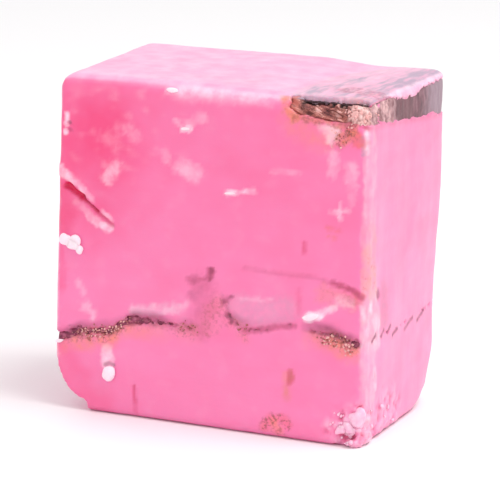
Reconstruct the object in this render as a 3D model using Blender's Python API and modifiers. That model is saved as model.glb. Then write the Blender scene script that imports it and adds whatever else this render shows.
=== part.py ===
"""Strawberry fudge: one hand-cut pink block with chocolate set into it.

Metres, +Z up. The origin is the middle of the base. The wide cut face looks along -Y, and the block's
longest side stands along +Z. A chocolate slab fills the upper right corner, and a thin chocolate layer,
broken into three ribbons, crosses the block from front to back about 15 mm above the base.
"""

import math

import bmesh
import bpy
from mathutils import Matrix, Vector, noise

MM = 0.001

# ---- Driving dimensions, in millimetres ----

HALF_WIDTH, HALF_DEPTH, HEIGHT = 25.0, 17.0, 51.0  # the block, roughly, for cutters that reach past it
PAST = 6.0  # how far they reach past it
GAP = 0.3  # left free between the fudge and each piece of chocolate
MERGE = 0.001  # points closer than this are one
ON_PLANE = 0.01  # points closer than this to a cutting plane lie on it

# Corners of the block before its edges are rounded: the sides that meet there, and the place.
# L and R are left and right, F and B front and back, D and U down and up.
CORNERS = {
    "LFD": (-25.2, -14.9, 0.0),
    "RFD": (25.4, -17.0, 0.0),
    "RBD": (24.7, 15.4, 0.0),
    "LBD": (-25.2, 15.2, 0.0),
    "LFU": (-24.6, -13.9, 50.6),
    "RFU": (24.3, -14.4, 50.2),
    "RBU": (25.2, 16.9, 50.3),
    "LBU": (-25.1, 16.0, 51.2),
}
# Width of the rounding along each edge. An edge is named by the two sides that meet in it.
# The edge that is worn the most is rounded first, the others after it.
WIDE_ROUNDING = {"RB": 2.8}
WIDE_STEPS = 4
ROUNDING = {
    "LD": 1.5,
    "FD": 1.1,
    "LF": 1.1,
    "RF": 1.7,
    "RD": 1.5,
    "BD": 1.5,
    "LB": 1.5,
    "LU": 2.4,
    "FU": 2.0,
    "RU": 1.4,
    "BU": 1.4,
}
ROUNDING_STEPS = 3
SHARP = math.radians(35.0)
CELL = 5.6  # spacing of the cuts that give the sides points to be uneven with

UNEVEN_DEPTH = 0.35
UNEVEN_LENGTH = 14.0
FLAT_BELOW = 2.5  # the unevenness fades out down to the flat base

# Soft hollows and swellings: middle, reach, and the push at the middle.
PUSHES = [
    ((25.0, 15.5, 0.0), 10.5, (-0.5, -1.5, 2.0)),
    ((24.6, 15.0, 12.0), 12.0, (-0.2, -0.5, 0.0)),
    ((-4.0, 12.0, 51.0), 14.0, (0.0, 0.0, 0.35)),
    ((14.0, 14.0, 50.3), 9.0, (0.0, 0.0, -0.45)),
    ((-19.5, -14.0, 29.5), 6.0, (0.0, 0.55, 0.0)),
]

# The lower left edge is worn round and ends in a low step: outline of what is gone there, X and Z.
LEFT_CUT = [
    (-31.0, -6.0),
    (-19.4, -6.0),
    (-19.5, 1.5),
    (-20.7, 1.9),
    (-21.8, 2.5),
    (-22.8, 3.4),
    (-23.6, 4.5),
    (-24.2, 5.8),
    (-24.7, 7.3),
    (-25.5, 9.0),
    (-31.0, 9.0),
]

# The crack that runs down and inwards from the left edge of the front.
CRACK_TOP = (-26.4, 36.5)
CRACK_END = (-15.3, 28.3)
CRACK_WIDTH = 0.8
CRACK_DEPTH = 2.4

# The crumbled corner at the lower right of the front: middle and radius of each bite.
BITES = [
    ((26.6, -18.4, 4.2), 3.2),
    ((22.4, -18.9, 1.6), 2.6),
    ((26.9, -11.6, 0.3), 2.4),
]
BITE_ROUGHNESS = 0.5
BITE_LUMPS = 0.8  # lumps of the ball's roughness for each millimetre
BITE_SHIFT = 7.0  # moves on through the noise from ball to ball, so that each is rough in its own way

# The slab's inner edge on the top, from front to back.
SLAB_EDGE = [(12.6, -21.0), (11.4, -6.5), (11.6, 2.0), (14.0, 9.0), (16.8, 15.0), (17.4, 22.0)]
SLAB_UNDERSIDE = 47.6  # height at the slab's front left corner
SLAB_CORNER = (12.7, -14.0)
SLAB_FALL = (-0.10, -0.085)  # change of that height per millimetre along X and along Y
SLAB_EDGE_SLANT = 1.3  # the inner edge slants, so its gap takes this much more along X

RIBBON_THICKNESS = 0.9
RIBBON_WAVE = 1.1
RIBBON_WAVE_SCALE = (0.11, 0.16)  # waves per millimetre along X and along Y
RIBBON_WAVE_SEED = 3.0
RIBBON_FRONT = -15.0  # Y of the front face near the ribbons
RIBBON_WAVE_FROM = 8.0  # the wave grows over this depth behind the front face, where the line is known
RIBBON_CELLS = (7, 7)
# Each ribbon's line on the front face, from left to right: X, then Z.
RIBBONS = {
    "chocolate_ribbon_left": [
        (-31.0, 10.2),
        (-24.6, 10.8),
        (-20.0, 12.2),
        (-16.6, 12.5),
        (-12.0, 14.7),
        (-7.1, 14.8),
        (-1.2, 14.5),
    ],
    "chocolate_ribbon_middle": [(2.5, 18.8), (4.0, 16.7), (6.0, 15.4), (8.0, 15.5), (13.9, 17.0)],
    "chocolate_ribbon_right": [(15.7, 16.5), (19.0, 16.2), (24.3, 15.2), (31.0, 14.9)],
}

# Base colour, roughness.
FUDGE_LOOK = ((0.95, 0.22, 0.42, 1.0), 0.45)
CHOCOLATE_LOOK = ((0.10, 0.035, 0.035, 1.0), 0.40)


# ---- Scene and materials ----


def clear_scene():
    """Remove whatever the scene holds."""
    for thing in list(bpy.data.objects):
        bpy.data.objects.remove(thing, do_unlink=True)


def new_collection(name):
    """A collection of that name under the scene's own."""
    group = bpy.data.collections.new(name)
    bpy.context.scene.collection.children.link(group)
    return group


def make_material(name, look):
    """A Principled material with one colour and roughness."""
    colour, roughness = look
    material = bpy.data.materials.new(name)
    material.use_nodes = True
    shader = material.node_tree.nodes["Principled BSDF"]
    shader.inputs["Base Color"].default_value = colour
    shader.inputs["Roughness"].default_value = roughness
    shader.inputs["Metallic"].default_value = 0.0
    material.diffuse_color = colour
    return material


def add_object(name, mesh, group, material=None):
    """An object of that mesh, in its group and with its own material."""
    thing = bpy.data.objects.new(name, mesh)
    group.objects.link(thing)
    if material:
        mesh.materials.clear()
        mesh.materials.append(material)
    return thing


def make_guide(thing):
    """Mark an object as a cutter or a guide, which isn't part of the fudge."""
    thing.hide_render = True
    thing.display_type = "WIRE"
    return thing


def mesh_from(name, shape):
    """A mesh from a bmesh, in metres, with its faces turned outwards."""
    bmesh.ops.scale(shape, vec=(MM, MM, MM), verts=shape.verts)
    bmesh.ops.recalc_face_normals(shape, faces=shape.faces)
    mesh = bpy.data.meshes.new(name)
    shape.to_mesh(mesh)
    shape.free()
    return mesh


def boolean(thing, other, operation):
    """Cut or trim a thing with another."""
    cut = thing.modifiers.new(operation.lower() + "_" + other.name, "BOOLEAN")
    cut.operation = operation
    cut.solver = "EXACT"
    cut.object = other


# ---- The block ----


def sides_of(co):
    """The letters of the sides that a corner of the unit cube touches."""
    return ("L" if co.x < 0 else "R") + ("F" if co.y < 0 else "B") + ("D" if co.z < 0 else "U")


def side_of(face):
    """The letter of the side that a face looks towards most."""
    axis = max(range(3), key=lambda number: abs(face.normal[number]))
    return ("LR", "FB", "DU")[axis][face.normal[axis] > 0.0]


def width_along(edge, widths):
    """The rounding of a sharp edge, found from the two sides it parts, or 0 where none is given."""
    if edge.calc_face_angle(0.0) < SHARP:
        return 0.0
    letters = {side_of(face) for face in edge.link_faces}
    return next((width for name, width in widths.items() if set(name) == letters), 0.0)


def round_edges(shape, widths, steps):
    """Round the sharp edges of a shape, each by its own width, and return the new shape."""
    shape.normal_update()
    widest = max(widths.values())
    weight = shape.edges.layers.float.new("bevel_weight_edge")
    for edge in shape.edges:
        edge[weight] = width_along(edge, widths) / widest
    helper = bpy.data.objects.new("rounding", bpy.data.meshes.new("rounding"))
    shape.to_mesh(helper.data)
    shape.free()
    bpy.context.scene.collection.objects.link(helper)
    bevel = helper.modifiers.new("worn_edges", "BEVEL")
    bevel.limit_method = "WEIGHT"
    bevel.width = widest
    bevel.segments = steps
    bevel.use_clamp_overlap = False
    evaluated = helper.evaluated_get(bpy.context.evaluated_depsgraph_get())
    rounded = bmesh.new()
    rounded.from_mesh(evaluated.to_mesh())
    rounded.edges.layers.float.remove(rounded.edges.layers.float["bevel_weight_edge"])
    mesh = helper.data
    bpy.data.objects.remove(helper, do_unlink=True)
    bpy.data.meshes.remove(mesh)
    return rounded


def rounded_block():
    """A cube with its corners where the knife left them and each edge rounded by its own width."""
    shape = bmesh.new()
    bmesh.ops.create_cube(shape, size=2.0)
    for vert in shape.verts:
        vert.co = Vector(CORNERS[sides_of(vert.co)])
    shape = round_edges(shape, WIDE_ROUNDING, WIDE_STEPS)
    return round_edges(shape, ROUNDING, ROUNDING_STEPS)


def add_cuts(shape):
    """Cut the sides into cells with planes across X, Y and Z, so that they have points to move."""
    for axis in range(3):
        low = min(vert.co[axis] for vert in shape.verts)
        high = max(vert.co[axis] for vert in shape.verts)
        count = round((high - low) / CELL)
        normal = Vector((0.0, 0.0, 0.0))
        normal[axis] = 1.0
        for step in range(1, count):
            place = normal * (low + (high - low) * step / count)
            everything = shape.verts[:] + shape.edges[:] + shape.faces[:]
            bmesh.ops.bisect_plane(shape, geom=everything, dist=ON_PLANE, plane_co=place, plane_no=normal)


def make_uneven(shape):
    """Move the points a little, as on a block cut by hand, and keep the base flat."""
    shape.normal_update()
    moves = {}
    for vert in shape.verts:
        fade = min(vert.co.z / FLAT_BELOW, 1.0)
        swell = noise.noise(vert.co / UNEVEN_LENGTH) * UNEVEN_DEPTH
        move = vert.normal * swell * fade
        for middle, reach, push in PUSHES:
            near = max(0.0, 1.0 - (vert.co - Vector(middle)).length / reach)
            move += Vector(push) * (near * near * (3.0 - 2.0 * near))
        moves[vert] = move
    for vert, move in moves.items():
        vert.co += move
        vert.co.z = max(vert.co.z, 0.0)


def make_block_mesh(name):
    """The whole outer form of the block, with nothing cut out of it yet."""
    shape = rounded_block()
    add_cuts(shape)
    make_uneven(shape)
    bmesh.ops.triangulate(shape, faces=[face for face in shape.faces if len(face.verts) > 4])
    return mesh_from(name, shape)


# ---- Cutters ----


def box_cutter(name, low, high, group, turn=0.0):
    """A box between two corners, turned about its middle in the plane of the front face."""
    shape = bmesh.new()
    low, high = Vector(low), Vector(high)
    middle, size = (low + high) / 2.0, high - low
    placing = Matrix.Translation(middle) @ Matrix.Rotation(turn, 4, "Y") @ Matrix.Diagonal((*size, 1.0))
    bmesh.ops.create_cube(shape, size=1.0, matrix=placing)
    return make_guide(add_object(name, mesh_from(name, shape), group))


def left_cutter(group):
    """A prism from front to back that takes off the lower left edge as far as the step."""
    shape = bmesh.new()
    reach = HALF_DEPTH + PAST
    front, back = [[shape.verts.new((x, y, z)) for x, z in LEFT_CUT] for y in (-reach, reach)]
    shape.faces.new(front)
    shape.faces.new(reversed(back))
    for number in range(len(LEFT_CUT)):
        shape.faces.new((front[number - 1], front[number], back[number], back[number - 1]))
    return make_guide(add_object("left_cutter", mesh_from("left_cutter", shape), group))


def crack_cutter(group):
    """A thin slanting blade that opens the crack in the front face."""
    (x0, z0), (x1, z1) = CRACK_TOP, CRACK_END
    length = math.hypot(x1 - x0, z1 - z0)
    middle = Vector(((x0 + x1) / 2.0, 0.0, (z0 + z1) / 2.0))
    half = Vector((length / 2.0, 0.0, CRACK_WIDTH / 2.0))
    front = CORNERS["LFU"][1]
    low = middle - half + Vector((0.0, front - PAST, 0.0))
    high = middle + half + Vector((0.0, front + CRACK_DEPTH, 0.0))
    return box_cutter("crack_cutter", low, high, group, math.atan2(z0 - z1, x1 - x0))


def bite_cutter(number, middle, radius, group):
    """A rough ball that takes a crumb out of the corner."""
    shape = bmesh.new()
    bmesh.ops.create_icosphere(shape, subdivisions=2, radius=radius)
    shift = Vector((number * BITE_SHIFT, 0.0, 0.0))
    for vert in shape.verts:
        vert.co *= 1.0 + BITE_ROUGHNESS * noise.noise(vert.co * BITE_LUMPS + shift)
        vert.co += Vector(middle)
    name = f"bite_cutter_{number}"
    return make_guide(add_object(name, mesh_from(name, shape), group))


# ---- Chocolate slab in the upper right corner ----


def slab_underside(x, y):
    """Height of the slab's underside, which falls to the right and to the back."""
    return SLAB_UNDERSIDE + SLAB_FALL[0] * (x - SLAB_CORNER[0]) + SLAB_FALL[1] * (y - SLAB_CORNER[1])


def slab_mesh(name, grow):
    """The slab, past the block's outside on three sides, made larger by grow on its inner sides."""
    outline = [(x - SLAB_EDGE_SLANT * grow, y) for x, y in SLAB_EDGE]
    right = HALF_WIDTH + PAST
    outline += [(right, SLAB_EDGE[-1][1]), (right, SLAB_EDGE[0][1])]
    curve = bpy.data.curves.new(name, "CURVE")
    curve.dimensions = "2D"
    curve.fill_mode = "BOTH"
    curve.extrude = 1.0  # any thickness: the faces go to their heights below
    spline = curve.splines.new("POLY")
    spline.points.add(len(outline) - 1)
    for point, (x, y) in zip(spline.points, outline):
        point.co = (x, y, 0.0, 1.0)
    spline.use_cyclic_u = True
    helper = bpy.data.objects.new(name, curve)
    bpy.context.scene.collection.objects.link(helper)
    flat = bpy.data.meshes.new_from_object(helper.evaluated_get(bpy.context.evaluated_depsgraph_get()))
    bpy.data.objects.remove(helper, do_unlink=True)
    bpy.data.curves.remove(curve)
    shape = bmesh.new()
    shape.from_mesh(flat)
    bpy.data.meshes.remove(flat)
    bmesh.ops.remove_doubles(shape, verts=shape.verts, dist=MERGE)
    for vert in shape.verts:
        above = vert.co.z > 0.0
        vert.co.z = HEIGHT + PAST if above else slab_underside(vert.co.x, vert.co.y) - grow
    return mesh_from(name, shape)


# ---- Chocolate ribbons ----


def along(path, x):
    """Height of a line of (x, z) points at x, eased between the points."""
    for (x0, z0), (x1, z1) in zip(path, path[1:]):
        if x <= x1:
            part = max(0.0, (x - x0) / (x1 - x0))
            return z0 + (z1 - z0) * part * part * (3.0 - 2.0 * part)
    return path[-1][1]


def ribbon_object(name, path, group, thickness, longer, material=None):
    """A thin wavy layer from front to back along a path, longer at its inner ends by that much."""
    shape = bmesh.new()
    across, deep = RIBBON_CELLS
    bmesh.ops.create_grid(shape, x_segments=across, y_segments=deep, size=1.0)
    start, end = path[0][0] - longer, path[-1][0] + longer
    reach = HALF_DEPTH + PAST
    for vert in shape.verts:
        x = start + (end - start) * (vert.co.x + 1.0) / 2.0
        y = vert.co.y * reach
        inside = min(max(0.0, (y - RIBBON_FRONT) / RIBBON_WAVE_FROM), 1.0)
        spot = Vector((x * RIBBON_WAVE_SCALE[0], y * RIBBON_WAVE_SCALE[1], RIBBON_WAVE_SEED))
        wave = RIBBON_WAVE * inside * noise.noise(spot)
        vert.co = Vector((x, y, along(path, x) + wave))
    thing = add_object(name, mesh_from(name, shape), group, material)
    body = thing.modifiers.new("thickness", "SOLIDIFY")
    body.thickness = thickness * MM
    body.offset = 0.0
    body.use_even_offset = True
    return thing


# ---- The whole ----


def build():
    """Make the block, the slab and the ribbons."""
    clear_scene()
    parts = new_collection("strawberry_fudge")
    guides = new_collection("construction")

    form = make_guide(add_object("block_form", make_block_mesh("block_form"), guides))
    block = add_object("fudge_block", make_block_mesh("fudge_block"), parts, make_material("fudge", FUDGE_LOOK))
    cutters = [left_cutter(guides), crack_cutter(guides)]
    cutters += [bite_cutter(number, *bite, guides) for number, bite in enumerate(BITES)]
    cutters.append(make_guide(add_object("slab_cutter", slab_mesh("slab_cutter", GAP), guides)))

    slab_look = make_material("chocolate_slab", CHOCOLATE_LOOK)
    slab = add_object("chocolate_slab", slab_mesh("chocolate_slab", 0.0), parts, slab_look)
    boolean(slab, form, "INTERSECT")

    for name, path in RIBBONS.items():
        look = make_material(name, CHOCOLATE_LOOK)
        ribbon = ribbon_object(name, path, parts, RIBBON_THICKNESS, 0.0, look)
        boolean(ribbon, form, "INTERSECT")
        slot = ribbon_object(name + "_cutter", path, guides, RIBBON_THICKNESS + 2.0 * GAP, GAP)
        cutters.append(make_guide(slot))

    for cutter in cutters:
        boolean(block, cutter, "DIFFERENCE")


build()
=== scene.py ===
"""Strawberry fudge with a chocolate slab in one corner and a thin broken chocolate layer across it.

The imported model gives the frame: metres, +Z up, the origin in the middle of the base. The wide cut face
looks along -Y and the narrow side with the slab along +X. Sizes and places below are in millimetres, apart
from those of the floor and the lamps.
"""

import math

import bmesh
import bpy
import numpy as np
from bpy.props import FloatProperty, FloatVectorProperty, IntProperty, PointerProperty
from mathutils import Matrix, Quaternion, Vector, noise


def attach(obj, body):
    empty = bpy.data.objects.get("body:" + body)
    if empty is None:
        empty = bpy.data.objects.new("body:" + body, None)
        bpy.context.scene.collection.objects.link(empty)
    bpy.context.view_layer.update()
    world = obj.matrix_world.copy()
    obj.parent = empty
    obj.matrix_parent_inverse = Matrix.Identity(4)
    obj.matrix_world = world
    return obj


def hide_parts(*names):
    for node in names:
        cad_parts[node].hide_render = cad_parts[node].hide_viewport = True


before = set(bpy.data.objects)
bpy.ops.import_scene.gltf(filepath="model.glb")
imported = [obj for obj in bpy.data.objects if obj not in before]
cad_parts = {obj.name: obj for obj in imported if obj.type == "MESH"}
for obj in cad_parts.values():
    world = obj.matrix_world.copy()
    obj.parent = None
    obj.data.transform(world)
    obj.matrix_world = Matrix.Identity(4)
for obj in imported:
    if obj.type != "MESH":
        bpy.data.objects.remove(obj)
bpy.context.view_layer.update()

bl_info = {
    "name": "Strawberry Fudge",
    "version": (1, 0, 0),
    "blender": (4, 5, 0),
    "location": "3D View > Sidebar > Fudge",
    "description": "Makes a hand-cut block of strawberry fudge with chocolate set into it",
    "category": "Mesh",
}

MM = 0.001

# ---- The block's form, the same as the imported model's ----

# Corners before rounding, each named by its sides: left or right, front or back, down or up.
CORNERS = {
    "LFD": (-25.2, -14.9, 0.0),
    "RFD": (25.4, -17.0, 0.0),
    "RBD": (24.7, 15.4, 0.0),
    "LBD": (-25.2, 15.2, 0.0),
    "LFU": (-24.6, -13.9, 50.6),
    "RFU": (24.3, -14.4, 50.2),
    "RBU": (25.2, 16.9, 50.3),
    "LBU": (-25.1, 16.0, 51.2),
}
# Width of the rounding along each edge, by the two sides that meet in it. The most worn edge comes first.
WIDE_ROUNDING = {"RB": 2.8}
ROUNDING = {"LD": 1.5, "FD": 1.1, "LF": 1.1, "RF": 1.7, "RD": 1.5, "BD": 1.5, "LB": 1.5}
ROUNDING |= {"LU": 2.4, "FU": 2.0, "RU": 1.4, "BU": 1.4}
STEPS = 5  # flats round each rounded edge
SHARP = math.radians(35.0)  # flatter edges stay as they are

# What is gone at the worn lower left edge, X and Z. It ends in a low step, on which the block stands.
LEFT_CUT = [
    (-31.0, -6.0), (-19.4, -6.0), (-19.5, 1.5), (-20.7, 1.9), (-21.8, 2.5), (-22.8, 3.4),
    (-23.6, 4.5), (-24.2, 5.8), (-24.7, 7.3), (-25.5, 9.0), (-31.0, 9.0),
]
CUT_REACH = 23.0  # cutters and ribbons are made this far to the front and back of the middle
BITES = [((26.6, -18.4, 4.2), 3.2), ((22.4, -18.9, 1.6), 2.6), ((26.9, -11.6, 0.3), 2.4)]
BITE_ROUGHNESS = 0.5
BITE_LUMPS = 0.8  # lumps of the ball's roughness for each millimetre
BITE_SHIFT = 7.0  # moves on through the noise from ball to ball

UNEVEN_LENGTH = 14.0
FLAT_BELOW = 2.5  # the unevenness fades out down to the flat base
# Soft hollows and swellings: middle, reach, and the push at the middle.
PUSHES = [
    ((25.0, 15.5, 0.0), 10.5, (-0.5, -1.5, 2.0)),
    ((24.6, 15.0, 12.0), 12.0, (-0.2, -0.5, 0.0)),
    ((-4.0, 12.0, 51.0), 14.0, (0.0, 0.0, 0.35)),
    ((14.0, 14.0, 50.3), 9.0, (0.0, 0.0, -0.45)),
    ((-19.5, -14.0, 29.5), 6.0, (0.0, 0.55, 0.0)),
]

# The slab's inner edge on the top, from front to back, and its sloping underside.
SLAB_EDGE = [(12.6, -21.0), (11.4, -6.5), (11.6, 2.0), (14.0, 9.0), (16.8, 15.0), (17.4, 22.0)]
SLAB_UNDERSIDE = 47.6
SLAB_CORNER = (12.7, -14.0)
SLAB_COVER = 0.3  # how far the fudge has crept up over the slab at its front right corner
SLAB_FALL = (-0.10, -0.085)
LAYER_FALL = math.radians(21.0)  # the layers in its broken front fall to the right
SLAB_PAST = (31.0, 57.0)  # X and Z that the slab is made to before the block's form trims it
SLAB_RISE = 12.0
# The gap under the film and the hole beside it are painted near black on the slab, as painted shadow.
SLAB_GAP = [(14.0, 49.7), (17.0, 49.9), (21.4, 50.0)]  # dark gap under the film, X and Z
SLAB_HOLE = [(22.0, 50.3), (24.0, 49.9)]

# The thin chocolate layer's three ribbons: each one's line on the front face, X and Z from left to right.
RIBBONS = {
    "left": [
        (-31.0, 10.2), (-24.6, 10.8), (-20.0, 12.2), (-16.6, 12.5), (-12.0, 14.7), (-7.1, 14.8),
        (-1.2, 14.5),
    ],
    "middle": [(2.5, 18.8), (4.0, 16.7), (6.0, 15.4), (8.0, 15.5), (13.9, 17.0)],
    "right": [(15.7, 16.5), (19.0, 16.2), (24.3, 15.2), (31.0, 14.9)],
}
RIBBON_CELL = 0.5  # size along X of the cells that a ribbon starts from
RIBBON_ROWS = 48  # number of those cells from front to back
RIBBON_WAVE = 1.1
RIBBON_WAVE_SCALE = (0.11, 0.16)  # waves for each millimetre along X and along Y
RIBBON_WAVE_SEED = 3.0
RIBBON_FRONT, RIBBON_WAVE_FROM = -15.0, 8.0  # the wave grows over this depth behind the front face
# How each ribbon looks on the front, from left to right: X, then 0 to 1 for how bare its chocolate is, how
# dotted with crumbs, how stained the fudge is over it, and how much warm fat has run out under it.
RIBBON_LOOKS = ("bare", "dots", "stain", "fat")
RIBBON_RUNS = {
    "left": [
        (-25.3, 1.0, 0.0, 0.6, 0.1),
        (-23.0, 1.0, 0.2, 1.0, 0.4),
        (-20.8, 0.9, 0.7, 0.8, 0.9),
        (-18.5, 0.6, 1.0, 0.5, 1.0),
        (-16.2, 0.7, 0.8, 0.5, 1.0),
        (-13.6, 0.8, 0.6, 0.4, 0.9),
        (-12.0, 1.0, 0.2, 0.9, 0.6),
        (-10.0, 0.7, 0.2, 1.0, 0.5),
        (-7.0, 0.4, 0.1, 0.8, 0.3),
        (-5.2, 0.35, 0.4, 0.3, 0.1),
        (-2.4, 0.3, 0.8, 0.5, 0.3),
        (-1.2, 0.0, 0.2, 0.1, 0.1),
    ],
    "middle": [
        (2.5, 0.0, 0.2, 0.5, 0.1),
        (4.2, 0.1, 0.3, 0.5, 0.1),
        (6.1, 0.2, 0.5, 0.4, 0.1),
        (7.4, 0.0, 0.0, 0.2, 0.0),
        (13.9, 0.0, 0.0, 0.1, 0.0),
    ],
    "right": [
        (15.7, 0.05, 0.0, 0.4, 0.3),
        (18.0, 0.2, 0.3, 0.8, 0.7),
        (20.0, 0.4, 0.9, 1.0, 1.0),
        (22.6, 0.45, 1.0, 0.9, 0.9),
        (23.6, 1.0, 0.4, 0.4, 1.0),
        (25.4, 1.0, 0.0, 0.0, 0.2),
    ],
}

# Heights between which the thin layer is looked for: where the mesh is halved, and where it is coloured.
HALVED_BAND = (8.0, 20.5)
LAYER_BAND = (6.0, 23.0)
HALVED_NEAR = 1.3  # the mesh's cells are halved where they are this near to the layer

# ---- Marks on the block ----

# Each side: the two axes across it, the axis it looks along, and which way.
SIDES = {
    "front": (0, 2, 1, -1.0),
    "back": (0, 2, 1, 1.0),
    "left": (1, 2, 0, -1.0),
    "right": (1, 2, 0, 1.0),
    "top": (0, 1, 2, 1.0),
}
TINTS = ("rose", "film", "lilac", "pale", "deep", "orange", "smear", "specks")


class Mark:
    """A mark along a line on a side: how far it is full and then fades, its depth, raggedness and tints."""

    def __init__(self, line, width, soft, depth, ragged=0.3, side="front", **tints):
        self.line, self.width, self.soft, self.depth = line, width, soft, depth
        self.ragged, self.side, self.tints = ragged, side, tints


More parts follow.
